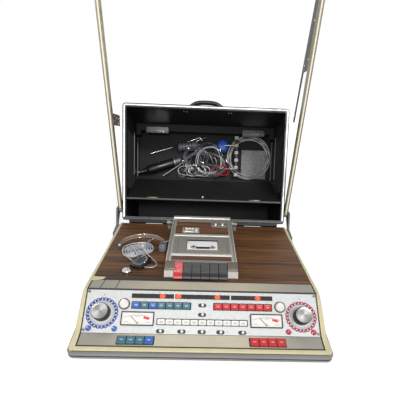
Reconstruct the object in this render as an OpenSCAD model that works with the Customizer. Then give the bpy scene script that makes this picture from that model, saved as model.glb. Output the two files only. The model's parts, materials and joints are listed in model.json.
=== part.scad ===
// Portable two-channel audiometer, opened for use.
// The console's floor is at z = 0, its operator sits on the -y side, and x runs along its width.

/* [Console] */
// Height of the deck above the surface the case stands on
deck_z = 88; // [80:1:110]
// Length of the walnut deck, front to back
deck_len = 273; // [262:1:300]
// Length of the metal strip in front of the deck
strip_len = 31; // [24:1:40]
// Length of the steep control panel
panel_len = 83; // [80:1:95]
// Tilt of the control panel below the deck's plane
panel_tilt = 36.5; // [30:0.5:42]
// Length of the lower strip that holds the long keys
lower_len = 27.5; // [26:0.5:34]
// Tilt of the lower strip
lower_tilt = 12; // [8:0.5:16]
// Thickness of the metal panels
panel_t = 2.5; // [1.5:0.5:4]
// Thickness of the walnut deck board
deck_t = 4; // [3:0.5:6]
// Width of the cream seal beside the deck
seal_w = 13; // [13:0.5:16]
// Depth of the cream seal
seal_t = 8; // [5:0.5:10]
// Length of the cream seal in front of the lower strip
seal_front = 8; // [6:0.5:12]
// Height of the aluminium rim band
rim_h = 12; // [8:1:16]
// Width of the rim band's top
rim_w = 10; // [6:1:14]
// Thickness of the tray's sheet
tray_t = 2.5; // [1.5:0.5:4]
// Height of the rubber feet
foot_h = 6; // [4:1:10]
// Radius of the rubber feet
foot_r = 11; // [8:1:14]

/* [Panel controls] */
// Distance from a round dial's centre to the side of the panel
dial_margin = 34; // [31:0.5:44]
// Distance from a round dial's centre to the round white button beside it
dial_gap = 38.5; // [38:0.5:44]
// Distance of the dials down the panel
dial_s = 46.5; // [44:0.5:50]
// Outer radius of a dial ring
dial_r = 29.5; // [26:0.5:31]
// Thickness of a dial ring
dial_t = 1; // [0.6:0.1:2]
// Radius of a dial knob's grip
knob_r = 16.5; // [14:0.5:19]
// Height of a dial knob
knob_h = 21; // [16:1:26]
// Number of flutes round a knob
knob_flutes = 24; // [16:1:30]
// Radius of the shafts that carry the knobs
shaft_r = 3; // [2.5:0.1:3.5]
// Radius of the round white push buttons
round_r = 8; // [6:0.5:9]
// Width of the black bezel round a white push button
bezel_w = 2.6; // [1.5:0.1:3.5]
// Distance from the end of the key rows to the middle of a round white button
round_gap = 16; // [12:0.5:20]
// Distance of the round white push buttons down the panel
round_s = 29; // [27:0.5:31]
// Radius of the small buttons under the dials
small_r = 4.8; // [4:0.1:5.5]
// Pitch of the blue and the red keys
key_pitch = 15.5; // [14:0.1:15.6]
// Length of a blue or red key up the panel
key_len = 11; // [9:0.5:12]
// Pitch of the white keys
white_pitch = 15; // [13:0.1:15.4]
// Length of a white key up the panel
white_len = 9; // [8:0.5:10]
// Pitch of the long keys on the lower strip
bar_pitch = 16; // [14:0.5:17]
// Length of a long key
bar_len = 15; // [13:0.5:17]
// How far a push key stands above its panel
key_rise = 4; // [3.4:0.1:5]
// Travel of the push keys
key_travel = 2.5; // [1.5:0.1:3]
// Width of a level meter
meter_w = 60; // [52:1:62]
// Height of a level meter up the panel
meter_len = 26; // [22:0.5:27]
// Depth of a level meter behind the panel
meter_depth = 15; // [12:0.5:20]

/* [Recorder] */
// Width of the cassette recorder
rec_w = 150; // [148:1:160]
// Gap between the recorder's keys and the strip in front of the deck
rec_gap = 3.3; // [2:0.1:8]
// Length of the recorder from its back to the keys
rec_top_len = 215; // [213:1:222]
// Height of the recorder's back above the deck
rec_h = 30; // [26:1:34]
// Height of the recorder's top where the keys begin
rec_key_h = 19.5; // [17:0.5:21]
// Length of the piano keys
rkey_len = 40; // [32:1:41]
// Pitch of the piano keys
rkey_pitch = 18.2; // [17:0.1:19]
// Width of the cassette
cassette_w = 100.4; // [96:0.2:102]
// Length of the cassette
cassette_len = 63.8; // [58:0.2:63.8]
// Thickness of the cassette
cassette_t = 9; // [7:0.5:10]

/* [Accessory box] */
// How far the accessory box stands beyond each side of the deck
box_over = 1.5; // [0.5:0.5:3]
// Height of the accessory box along its rim
box_h = 303; // [290:1:310]
// Depth of the accessory box
box_d = 192; // [180:1:200]
// Thickness of the box walls
wall_t = 8; // [6:0.5:10]
// Width of the silver rim round the box opening
box_rim_w = 10; // [9:0.5:13]
// Depth of the silver rim
box_rim_t = 8; // [5:0.5:10]
// How far the open box leans back
lean = 24.6; // [20:0.2:28]
// Height of the box hinge above the deck
hinge_rise = 4; // [3.9:0.1:6]
// Height of the shelf that the flap door hangs from, along the box
shelf_a = 133; // [128:1:140]
// Depth of the flap door's hinge inside the box
flap_b = 138; // [132:1:142]
// Length of the flap door from its hinge
flap_len = 155; // [146:1:158]
// Thickness of the flap door
flap_t = 5; // [4:0.5:6]
// Angle through which the flap door hangs open
flap_open = 117.5; // [110:0.5:118]
// Half the distance between the handle's pivots
handle_x = 96; // [84:1:110]
// Height of the handle above the box
handle_h = 47; // [40:1:54]

/* [Cover frame] */
// Width of a side rail
rail_w = 9.5; // [8:0.5:9.5]
// Depth of a side rail
rail_d = 14; // [10:1:18]
// Distance of the rails' pivot behind the deck
pivot_y = 25; // [22:1:30]
// Height of the rails' pivot above the deck
pivot_rise = 27; // [22:1:34]
// Length of the side rails above their pivot
rail_len = 486; // [476:1:500]
// Width of the cream core in a rail
core_w = 4; // [3:0.5:5]
// Radius of the rails' pivot pins
pin_r = 3; // [2.5:0.1:3.5]

/* [Hidden] */
$fn = 48;

run_gap = 0.05;    // radial clearance of a pin or shaft that turns in its bore
slide_gap = 0.4;   // clearance round a key in its slot
seat_gap = 0.3;    // clearance between pieces that lie next to each other
seam = 0.05;       // hairline between the sheets at the top of the control panel

row_gap_l = 22.5;
row_gap_r = 21;
blue_x0 = -row_gap_l - 7 * key_pitch;
red_x0 = row_gap_r;
red_x1 = red_x0 + 7 * key_pitch;
round_x = red_x1 + round_gap;
dial_x = round_x + dial_gap;
half_w = dial_x + dial_margin;
seal_x = half_w + 0.5;
rim_x = seal_x + seal_w;
kink_y = -(deck_len + strip_len);
panel_end_y = kink_y - panel_len * cos(panel_tilt);
panel_end_z = deck_z - panel_len * sin(panel_tilt);
lower_end_y = panel_end_y - lower_len * cos(lower_tilt);
lower_end_z = panel_end_z - lower_len * sin(lower_tilt);
seal_y = lower_end_y - seal_front;
rim_front_y = seal_y - 7;
rim_front_z = lower_end_z - 3;
rim_rear_z = deck_z - 4;
tray_x = rim_x - 9;
tray_front_y = rim_front_y + 12;
tray_rear_y = -6;

hinge_z = deck_z + hinge_rise;
box_x = half_w + box_over;
box_a0 = hinge_rise;
box_a1 = box_a0 + box_h;
inner_x = box_x - wall_t;
rear_y = box_a1 * sin(lean) + box_d * cos(lean);
mid_y = (rear_y + rim_front_y) / 2;

pivot_z = deck_z + pivot_rise;
rail_x0 = box_x + 2;
rail_x1 = rail_x0 + rail_w;
frame_top = pivot_z + rail_len;
bracket_t = 4;
bracket_x = max(rim_x, rail_x1 + slide_gap);

rec_tilt = asin((rec_h - rec_key_h) / rec_top_len);
rec_key_y = -deck_len + rec_gap + rkey_len;
rec_back = -rec_key_y - rec_top_len * cos(rec_tilt);
inlay_x = rec_w / 2 - 10.5;
rec_x = -4;
rkey_mid = -5;
rec_end = 24;
rkey_x0 = rkey_mid - 3 * rkey_pitch;
rkey_axis_z = deck_z + rec_key_h - 8;
lid_u0 = 114;
lid_u1 = 180;
lid_pin_u = lid_u0 + 2.6;
lid_pin_t = -1.5;
small_pin_r = 1;

key_s = 31;
white_s = 61.3;
meter_x = 5.5 * white_pitch + meter_w / 2 + 6;
meter_s = 56;
slot_margin = 0.8;
bar_x0 = 85.5;
bar_s = 14.5;
slide_r = 3;
window_s0 = 8.5;
window_s1 = 17;
lamp_w = 9;
chassis_z = foot_h + tray_t + 8;
chassis_x = tray_x - 42.5;
chassis_y0 = tray_front_y + 100;
chassis_y1 = tray_rear_y - 54;

knuckle_r = 3.4;
knuckle_n = 9;
knuckle_l = 44;
flap_x = inner_x - 3.5;
handle_b = 98;
handle_axis = 10;
back_b = box_d - 6 - seat_gap;
coil_x = 141;
coil_a = 214;
coil_r = 60;
coil_t = 8;

// Height of the sloping rim line at a place along the case
function rim_z(y) = rim_front_z + (rim_rear_z - rim_front_z) * (y - rim_front_y) / -rim_front_y;
// Where the rim line meets the underside of the seal beside the deck
rim_slope = (rim_rear_z - rim_front_z) / -rim_front_y;
meet_y = rim_front_y + (deck_z - seal_t - rim_front_z) / rim_slope;
// Where the rim line meets the underside of the seal beside the control panel
foot_y = (rim_front_z - rim_slope * rim_front_y - deck_z + seal_t + kink_y * tan(panel_tilt)) / (tan(panel_tilt) - rim_slope);

// ---------- placing ----------
module placed() translate([0, -mid_y, 0]) children();
module on_panel() placed() translate([0, kink_y, deck_z]) rotate([panel_tilt, 0, 0]) children();
module on_lower() placed() translate([0, panel_end_y, panel_end_z]) rotate([lower_tilt, 0, 0]) children();
module on_recorder() placed() translate([0, -rec_back, deck_z + rec_h]) rotate([rec_tilt, 0, 0]) children();
module in_box() placed() translate([0, 0, hinge_z]) rotate([-lean, 0, 0]) children();
module on_flap() in_box() translate([0, flap_b, shelf_a]) rotate([flap_open, 0, 0]) children();

// ---------- shared shapes ----------
module slab(x0, x1, y0, y1, z0, z1) translate([x0, y0, z0]) cube([x1 - x0, y1 - y0, z1 - z0]);
module yz(points, x0, x1) translate([x0, 0, 0]) rotate([90, 0, 90]) linear_extrude(x1 - x0) polygon(points);
module rod_x(x0, x1, r) translate([x0, 0, 0]) rotate([0, 90, 0]) cylinder(r = r, h = x1 - x0);
module both_sides() for (side = [0, 1]) mirror([side, 0, 0]) children();
module rounded(w, l, h, r) linear_extrude(h) {
    square([w - 2 * r, l], center = true);
    square([w, l - 2 * r], center = true);
    for (i = [-1, 1], j = [-1, 1]) translate([i * (w / 2 - r), j * (l / 2 - r)]) circle(r);
}
// A row of separate key caps that starts at x0 and steps along x
module key_row(count, x0, pitch, s, len, rise, deep)
    for (i = [0 : count - 1])
        translate([x0 + (i + 0.5) * pitch, -s, -deep])
            rounded(pitch - 1, len, deep + rise, 1);
module slot(x0, x1, s0, s1) slab(x0 - slot_margin, x1 + slot_margin, -s1 - slot_margin, -s0 + slot_margin, -9, 9);

// ---------- console case ----------
module base_tray() color("dimgray") placed() {
    top = [rim_z(tray_front_y) - rim_h, rim_z(tray_rear_y) - rim_h];
    difference() {
        yz([[tray_front_y, foot_h], [tray_rear_y, foot_h], [tray_rear_y, top[1]], [tray_front_y, top[0]]], -tray_x, tray_x);
        yz([[tray_front_y + tray_t, foot_h + tray_t], [tray_rear_y - tray_t, foot_h + tray_t],
            [tray_rear_y - tray_t, deck_z], [tray_front_y + tray_t, deck_z]], -tray_x + tray_t, tray_x - tray_t);
    }
}
module rubber_feet() color("black") placed()
    for (x = [-1, 1], y = [tray_front_y + 26, tray_rear_y - 26])
        translate([x * (tray_x - 30), y, 0]) cylinder(r1 = foot_r - 2, r2 = foot_r, h = foot_h);
module tray_rim() color("silver") placed() difference() {
    yz([[rim_front_y, rim_front_z], [0, rim_rear_z], [0, rim_rear_z - rim_h], [rim_front_y, rim_front_z - rim_h]], -rim_x, rim_x);
    slab(-rim_x + rim_w, rim_x - rim_w, rim_front_y + rim_w + 3, -rim_w, 0, deck_z);
}
module console_sides() color("silver") placed() {
    x1 = rim_x - 4;
    difference() {
        yz([[meet_y, deck_z - seal_t], [kink_y, deck_z - seal_t], [foot_y, rim_z(foot_y)]], -x1, x1);
        slab(-x1 + 2, x1 - 2, rim_front_y, 0, 0, deck_z);
    }
}
module cream_seal() color("wheat") placed() difference() {
    yz([[0, deck_z], [kink_y, deck_z], [panel_end_y, panel_end_z], [lower_end_y, lower_end_z],
        [seal_y, lower_end_z - 1], [seal_y, rim_z(seal_y)], [foot_y, rim_z(foot_y)],
        [kink_y, deck_z - seal_t], [meet_y, deck_z - seal_t], [0, rim_rear_z]],
        -rim_x + 1, rim_x - 1);
    slab(-seal_x, seal_x, lower_end_y, 1, 0, deck_z + 1);
}
module wood_deck() color("saddlebrown") placed() difference() {
    slab(-half_w, half_w, -deck_len + seat_gap, -1.5, deck_z - deck_t, deck_z);
    slab(rec_x - rec_w / 2 + 3, rec_x + rec_w / 2 - 3, -deck_len + 18, -rec_back - 5, 0, deck_z + 1);
}
module top_strip() color("lightgray") placed()
    yz([[-deck_len, deck_z], [kink_y, deck_z], [kink_y + panel_t * tan(panel_tilt / 2), deck_z - panel_t],
        [-deck_len, deck_z - panel_t]], -half_w, half_w);
module control_panel() color("gainsboro") difference() {
    on_panel() yz([[-seam, 0], [-panel_len, 0], [-panel_len, -panel_t], [-seam - panel_t * tan(panel_tilt / 2), -panel_t]],
        -half_w, half_w);
    on_panel() {
        both_sides() {
            translate([dial_x, -dial_s, -9]) cylinder(r = shaft_r + 1, h = 18);
            translate([round_x, -round_s, -9]) cylinder(r = round_r + slide_gap, h = 18);
            for (x = small_places()) translate([x, -small_s(), -9]) cylinder(r = small_r + slide_gap, h = 18);
            slot(meter_x - meter_w / 2 + 2, meter_x + meter_w / 2 - 2, meter_s - meter_len / 2 + 2, meter_s + meter_len / 2 - 2);
        }
        for (w = windows()) slab(w[0] + 1, w[1] - 1, -window_s1 + 0.9, -window_s0 - 0.9, -9, 9);
        slot(blue_x0, blue_x0 + 7 * key_pitch, key_s - key_len / 2, key_s + key_len / 2);
        slot(red_x0, red_x0 + 7 * key_pitch, key_s - key_len / 2, key_s + key_len / 2);
        slot(-5.5 * white_pitch, 5.5 * white_pitch, white_s - white_len / 2, white_s + white_len / 2);
        for (p = slides()) translate([p[0], -p[1], -9]) cylinder(r = slide_r + slide_gap, h = 18);
    }
}
module lower_strip() color("silver") on_lower() difference() {
    slab(-half_w, half_w, -lower_len, 0, -panel_t, 0);
    both_sides() slot(bar_x0, bar_x0 + 4 * bar_pitch, bar_s - bar_len / 2, bar_s + bar_len / 2);
}
function windows() = [[blue_x0 - 2, -54], [-52, 51], [53, red_x1 + 2.5]];
function lamps() = [-75.5, -45.5, 27.5, 104];
function small_places() = [dial_x - 25.5, dial_x + 21];
function small_s() = 75;
function slides() = [[0, 28.6], [0, 46.5], [-75, 78], [-36.5, 78], [0, 78], [34, 78], [74, 78]];

// ---------- panel fittings ----------
module dial_rings() color("aliceblue") on_panel() both_sides() translate([dial_x, -dial_s, 0]) difference() {
    cylinder(r = dial_r, h = dial_t);
    translate([0, 0, -1]) cylinder(r = shaft_r + 1, h = dial_t + 2);
}
module button_bezels() color("black") on_panel() both_sides() translate([round_x, -round_s, 0]) difference() {
    cylinder(r = round_r + bezel_w, h = 2);
    translate([0, 0, -1]) cylinder(r = round_r + slide_gap, h = 4);
}
module meter_case() difference() {
    union() {
        rounded(meter_w, meter_len, 3, 2);
        translate([0, 0, -meter_depth]) rounded(meter_w - 5, meter_len - 5, meter_depth, 1);
    }
    translate([0, 0, 1]) rounded(meter_w - 6, meter_len - 6, 4, 1);
}
module needle_pin() translate([0, -meter_len / 2 + 5, 0.9]) cylinder(r = 0.8, h = 1.8);
module level_meters() color("whitesmoke") on_panel() for (x = [-meter_x, meter_x]) translate([x, -meter_s, 0]) {
    meter_case();
    needle_pin();
}
// The needle lies just above the meter face and turns on its pin
module needle() translate([0, -meter_len / 2 + 5, 1.5]) difference() {
    union() {
        cylinder(r = 2, h = 0.8);
        rotate([0, 0, 38]) slab(-0.4, 0.4, 0, 13, 0, 0.8);
    }
    translate([0, 0, -1]) cylinder(r = 0.8 + run_gap, h = 3);
}
module left_needle() color("black") on_panel() translate([-meter_x, -meter_s, 0]) needle();
module right_needle() color("black") on_panel() translate([meter_x, -meter_s, 0]) needle();
module indicator_windows() color("black") on_panel()
    difference() {
        for (w = windows()) slab(w[0], w[1], -window_s1, -window_s0, 0, 1.4);
        for (x = lamps()) slab(x - lamp_w / 2 - 0.1, x + lamp_w / 2 + 0.1, -window_s1 + 0.9, -window_s0 - 0.9, -1, 3);
    }
module indicator_lamps() color("orangered") on_panel() {
    for (x = lamps()) slab(x - lamp_w / 2, x + lamp_w / 2, -window_s1 + 1, -window_s0 - 1, -6, 1.6);
    slab(-120, 120, -window_s1 + 0.6, -window_s0 - 0.6, -8, -6);
}
module panel_screws() color("gray") on_panel() both_sides() for (p = [[half_w - 5, 6], [half_w - 5, panel_len - 5]])
    translate([p[0], -p[1], 0]) difference() {
        cylinder(r = 2.6, h = 1.2);
        slab(-3, 3, -0.4, 0.4, 0.6, 2);
    }

// ---------- panel controls ----------
module potentiometers() color("gray") on_panel() both_sides() translate([dial_x, -dial_s, 0]) {
    translate([0, 0, -panel_t - 16]) cylinder(r = 13, h = 16);
    translate([0, 0, -panel_t - 1]) cylinder(r = shaft_r, h = panel_t + 1 + knob_h - 6);
}
module knob() difference() {
    union() {
        translate([0, 0, dial_t + seat_gap]) cylinder(r = knob_r - 0.9, h = knob_h - 2);
        for (i = [0 : knob_flutes - 1]) rotate([0, 0, i * 360 / knob_flutes])
            translate([knob_r - 1, 0, dial_t + seat_gap]) cylinder(r = 0.9, h = knob_h - 4, $fn = 24);
        translate([0, 0, knob_h - 1]) cylinder(r = knob_r - 2.2, h = 1.5);
    }
    translate([0, 0, -1]) cylinder(r = shaft_r + run_gap, h = knob_h - 5 + run_gap);
}
module left_knob() color("silver") on_panel() translate([-dial_x, -dial_s, 0]) knob();
module right_knob() color("silver") on_panel() translate([dial_x, -dial_s, 0]) knob();
module round_button() {
    translate([0, 0, -8]) cylinder(r = round_r, h = 11);
    translate([0, 0, 3]) cylinder(r1 = round_r, r2 = round_r - 1.5, h = 1.5);
}
module left_round_button() color("white") on_panel() translate([-round_x, -round_s, 0]) round_button();
module right_round_button() color("white") on_panel() translate([round_x, -round_s, 0]) round_button();
module small_button() {
    translate([0, 0, -7]) cylinder(r = small_r, h = 9);
    translate([0, 0, 2]) cylinder(r1 = small_r, r2 = small_r - 1.2, h = 1.2);
}
module blue_small_buttons() color("royalblue") on_panel()
    for (x = small_places()) translate([-x, -small_s(), 0]) small_button();
module red_small_buttons() color("crimson") on_panel()
    for (x = small_places()) translate([x, -small_s(), 0]) small_button();
module blue_keys() color("steelblue") on_panel() key_row(7, blue_x0, key_pitch, key_s, key_len, key_rise, 8);
module red_keys() color("crimson") on_panel() key_row(7, red_x0, key_pitch, key_s, key_len, key_rise, 8);
module white_keys() color("white") on_panel() key_row(11, -5.5 * white_pitch, white_pitch, white_s, white_len, key_rise, 8);
module slide_keys() color("lightgray") on_panel() for (p = slides()) translate([p[0], -p[1], 0]) {
    translate([0, 0, -7]) cylinder(r = slide_r, h = 10);
    translate([0, 0, 3]) sphere(r = slide_r - 0.6);
}
module left_bars() color("teal") on_lower() key_row(4, -bar_x0 - 4 * bar_pitch, bar_pitch, bar_s, bar_len, key_rise, 8);
module right_bars() color("red") on_lower() key_row(4, bar_x0, bar_pitch, bar_s, bar_len, key_rise, 8);

// ---------- inside the console ----------
module chassis() color("darkgray") placed() {
    slab(-chassis_x, chassis_x, chassis_y0, chassis_y1, chassis_z, chassis_z + 2);
    for (x = [-chassis_x + 15, chassis_x - 15], y = [chassis_y0 + 15, chassis_y1 - 15])
        translate([x, y, foot_h + tray_t]) cylinder(r = 5, h = 8);
}
module circuit_board() color("darkgreen") placed() translate([-chassis_x + 10, chassis_y0 + 10, chassis_z]) {
    slab(0, 150, 0, 140, 8, 9.6);
    for (x = [10, 140], y = [10, 130]) translate([x, y, 2]) cylinder(r = 3, h = 6);
    for (x = [20 : 24 : 116], y = [20, 55, 90]) slab(x, x + 14, y, y + 18, 9.6, 14);
}
module power_transformer() color("dimgray") placed() translate([chassis_x - 85, chassis_y1 - 80, chassis_z]) {
    slab(0, 70, 0, 62, 2, 44);
    slab(8, 62, -12, 0, 8, 38);
    slab(8, 62, 62, 74, 8, 38);
}

// ---------- cassette recorder ----------
module recorder_body() color("silver") {
    recorder_case();
    on_recorder() for (x = [-57.5, 49.5]) translate([0, -lid_pin_u, lid_pin_t]) rod_x(x, x + 4, small_pin_r);
    placed() translate([0, rec_key_y - 4, rkey_axis_z]) rod_x(rkey_x0 - 1.6, rkey_x0 + 6 * rkey_pitch + 1.6, small_pin_r);
}
module recorder_case() placed() difference() {
    union() {
        slab(rec_x - rec_w / 2 + 3.5, rec_x + rec_w / 2 - 3.5, -deck_len + 19, -rec_back - 6, deck_z - 34, deck_z);
        yz([[-rec_back, deck_z], [-rec_back, deck_z + rec_h], [rec_key_y, deck_z + rec_key_h], [rec_key_y - rec_end, deck_z + 12],
            [rec_key_y - rec_end - 8, deck_z + 2], [rec_key_y - rec_end - 8, deck_z]], rec_x - rec_w / 2, rec_x + rec_w / 2);
    }
    translate([0, -rec_back, deck_z + rec_h]) rotate([rec_tilt, 0, 0]) {
        slab(-57, 53, -lid_u1, -lid_u0, -4, 5);
        slab(-cassette_w / 2 - 3, cassette_w / 2 - 1, -lid_u1 + 1, -lid_u0 - 1, -16, 5);
        slab(rec_x - inlay_x, rec_x + inlay_x, -95, -33, -1.2, 5);
        slab(rec_x - inlay_x, rec_x + inlay_x, -208.5, -195, -1.2, 5);
    }
    yz([[rec_key_y - 1, deck_z + 40], [rec_key_y - 1, deck_z + 2], [rec_key_y - 60, deck_z + 0.5], [rec_key_y - 60, deck_z + 40]],
        rkey_x0 - 0.6, rkey_x0 + 6 * rkey_pitch + 0.6);
}
module recorder_inlay() color("sienna") on_recorder() {
    difference() {
        slab(rec_x - inlay_x + 0.2, rec_x + inlay_x - 0.2, -94.8, -33.2, -1.2, 0.2);
        slab(-52.3, -9.7, -92.3, -64.7, -2, 2);
    }
    slab(rec_x - inlay_x + 0.2, rec_x + inlay_x - 0.2, -208.3, -195.2, -1.2, 0.2);
}
module recorder_trim() color("silver") on_recorder() {
    slab(rec_x - rec_w / 2 + 2, rec_x + rec_w / 2 - 2, -16, -1, 0, 1.6);
    slab(rec_x - inlay_x - 0.5, rec_x + inlay_x + 0.5, -108, -98, 0, 1.8);
    slab(rec_x - inlay_x - 0.5, rec_x + inlay_x + 0.5, -193.5, -183, 0, 1.8);
    difference() {
        slab(-52, -10, -92, -65, -1.2, 3);
        slab(-36, -18, -84, -74, 2, 4);
    }
    slab(19, 57, -60, -35, 0.2, 1.4);
    for (x = [30, 47]) translate([x, -46, 1.4]) cylinder(r = 3.5, h = 2.5);
}
module cassette() color("white") on_recorder() difference() {
    translate([-1 - cassette_w / 2, -lid_u0 - 1.1 - cassette_len, -15.7]) cube([cassette_w, cassette_len, cassette_t]);
    for (x = [-22.2, 20.2]) translate([x, -lid_u0 - 35, -20]) cylinder(r = 5, h = 20);
}
// The lid turns on the rounded barrel along its rear edge
module recorder_lid() color("tan") on_recorder() difference() {
    union() {
        slab(-56.5, 52.5, -lid_u1 + 0.5, -lid_pin_u, -3.6, 0.6);
        translate([0, -lid_pin_u, lid_pin_t]) rod_x(-56.5, 52.5, 2.1);
    }
    slab(-37.5, 33, -lid_u0 - 53, -lid_u0 - 8, -5, 5);
    translate([0, -lid_pin_u, lid_pin_t]) rod_x(-57, 53, small_pin_r + run_gap);
}
// One piano key, whose back end turns on its axis
module piano_key(i) placed() translate([rkey_x0 + i * rkey_pitch, 0, 0]) difference() {
    yz([[rec_key_y - 1.6, rkey_axis_z + 7.4], [rec_key_y - rkey_len + 1, deck_z + 8], [rec_key_y - rkey_len - 1.5, deck_z + 5],
        [rec_key_y - rkey_len - 1, deck_z + 3.4], [rec_key_y - rkey_len + 8, deck_z + 4.5], [rec_key_y - 1.6, rkey_axis_z - 4]],
        0.5, rkey_pitch - 0.5);
    translate([0, rec_key_y - 4, rkey_axis_z]) rod_x(0, rkey_pitch, small_pin_r + run_gap);
}
module record_key() color("red") piano_key(0);
module rewind_key() color("black") piano_key(1);
module forward_key() color("black") piano_key(2);
module play_key() color("black") piano_key(3);
module stop_key() color("black") piano_key(4);
module pause_key() color("black") piano_key(5);

// ---------- accessory box: x, depth b, height a ----------
function knuckle_x(i) = (i - (knuckle_n - 1) / 2) * (knuckle_l + 0.6) - knuckle_l / 2;
module box_hinge_pin() color("silver") placed() {
    translate([0, 0, hinge_z]) rod_x(knuckle_x(0), knuckle_x(knuckle_n - 1) + knuckle_l, 1.5);
    for (i = [0 : 2 : knuckle_n - 1]) {
        translate([0, 0, hinge_z]) difference() {
            rod_x(knuckle_x(i), knuckle_x(i) + knuckle_l, knuckle_r);
            rod_x(knuckle_x(i) - 1, knuckle_x(i) + knuckle_l + 1, 1.5);
        }
        slab(knuckle_x(i), knuckle_x(i) + knuckle_l, 0, 1.2, deck_z - 14, hinge_z - 2);
    }
}
module box_shell() color("black") in_box() {
    difference() {
        slab(-box_x + 0.5, box_x - 0.5, box_rim_t, box_d, box_a0 + 0.5, box_a1 - 0.5);
        slab(-inner_x, inner_x, 0, box_d - 6, box_a0 + wall_t, box_a1 - wall_t);
    }
    slab(-inner_x, inner_x, flap_b + 6, box_d - 6, shelf_a - 4, shelf_a);
    difference() {
        slab(-inner_x, inner_x, flap_b + 6, flap_b + 10, box_a1 - wall_t - 34, box_a1 - wall_t);
        slab(-inner_x + 14, inner_x - 14, flap_b, flap_b + 12, 0, box_a1 - wall_t - 20);
    }
    both_sides() for (b = [30 : 16 : 110]) slab(inner_x - 2, inner_x, b, b + 6, shelf_a - 40, box_a1 - 60);
}
module box_rim() color("silver") in_box() {
    difference() {
        slab(-box_x, box_x, 0, box_rim_t, box_a0, box_a1);
        slab(-box_x + box_rim_w, box_x - box_rim_w, -1, box_rim_t + 1, box_a0 + box_rim_w, box_a1 - box_rim_w);
    }
    for (i = [1 : 2 : knuckle_n - 1]) difference() {
        union() {
            rod_x(knuckle_x(i), knuckle_x(i) + knuckle_l, knuckle_r);
            slab(knuckle_x(i), knuckle_x(i) + knuckle_l, 0, 2, 1, box_a0);
        }
        rod_x(knuckle_x(i) - 1, knuckle_x(i) + knuckle_l + 1, 1.5 + run_gap);
    }
}
module flap_door() color("black") on_flap() {
    difference() {
        union() {
            slab(-flap_x, flap_x, -flap_t / 2, flap_t / 2, 3, flap_len);
            rod_x(-flap_x, flap_x, 4);
        }
        rod_x(-flap_x - 1, flap_x + 1, 1.5 + run_gap);
    }
    for (x = [-147, 133]) slab(x - 17, x + 17, flap_t / 2, flap_t / 2 + 1.2, flap_len - 12, flap_len - 2);
    translate([-4, flap_t / 2, flap_len - 14]) rotate([-90, 0, 0]) cylinder(r = 4, h = 3);
}
module box_fittings() color("silver") in_box() {
    translate([0, flap_b, shelf_a]) rod_x(-inner_x, inner_x, 1.5);
    for (x = [-147, 148]) {
        slab(x - 33, x + 33, flap_b + 4, flap_b + 6, box_a1 - wall_t - 19, box_a1 - wall_t - 9);
    }
    both_sides() {
        difference() {
            translate([handle_x - 10, handle_b - 9, box_a1 - 0.5]) cube([7, 18, 15]);
            translate([0, handle_b, box_a1 + handle_axis]) rod_x(handle_x - 20, handle_x + 20, 2.5);
        }
        translate([handle_x - 10, handle_b - 9, box_a1 - 0.5]) cube([22, 18, 2]);
        for (a = [60, 170, 250]) translate([box_x - 0.5, 30, a]) rod_x(0, 0.5, 3);
    }
}
module carry_handle() color("black") in_box() translate([0, handle_b, box_a1]) {
    grip = [[-handle_x + 1, handle_axis - 4], [-74, 9], [-46, 26], [-24, handle_h - 11], [24, handle_h - 11], [46, 26],
        [74, 9], [handle_x - 1, handle_axis - 4], [handle_x + 9, handle_axis], [handle_x - 1, handle_axis + 5],
        [76, 18], [46, 38], [24, handle_h], [-24, handle_h], [-46, 38], [-76, 18], [-handle_x + 1, handle_axis + 5],
        [-handle_x - 9, handle_axis]];
    difference() {
        rotate([90, 0, 0]) translate([0, 0, -7]) linear_extrude(14) polygon(grip);
        both_sides() translate([handle_x - 10.4, -10, -1]) cube([7.8, 20, 30]);
    }
    both_sides() translate([0, 0, handle_axis]) rod_x(handle_x - 11, handle_x - 1, 2.5 - run_gap);
}

// ---------- cover frame ----------
module side_rails() color("silver") placed() both_sides() difference() {
    union() {
        slab(rail_x0, rail_x1, pivot_y - rail_d / 2, pivot_y + rail_d / 2, pivot_z, frame_top);
        translate([0, pivot_y, pivot_z]) rod_x(rail_x0, rail_x1, rail_d / 2);
    }
    translate([0, pivot_y, pivot_z]) rod_x(rail_x0 - 1, rail_x1 + 1, pin_r + run_gap);
    slab((rail_x0 + rail_x1 - core_w) / 2, (rail_x0 + rail_x1 + core_w) / 2, pivot_y - rail_d, pivot_y - rail_d / 2 + 1.5,
        pivot_z + 14, frame_top + 1);
}
module rail_pivots() color("gray") placed() both_sides() {
    yz([[-46, rim_z(-46)], [-46, rim_z(-46) - rim_h], [-6, deck_z - 20], [-6, rim_z(-6)]], rim_x, bracket_x + bracket_t);
    yz([[-6, rim_z(-6)], [-6, deck_z - 20], [pivot_y + 12, pivot_z - 8], [pivot_y + 12, pivot_z + 8],
        [pivot_y - 12, pivot_z + 8]], bracket_x, bracket_x + bracket_t);
    translate([0, pivot_y, pivot_z]) rod_x(rail_x0 + 0.2, bracket_x + bracket_t, pin_r);
}
module far_wall() color("black") placed() {
    slab(-rail_x1, rail_x1, pivot_y - rail_d / 2, pivot_y + rail_d / 2, frame_top, frame_top + 10);
    slab(-rail_x1, rail_x1, pivot_y + rail_d / 2, pivot_y + 44, frame_top + 8, frame_top + 10);
}
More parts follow.
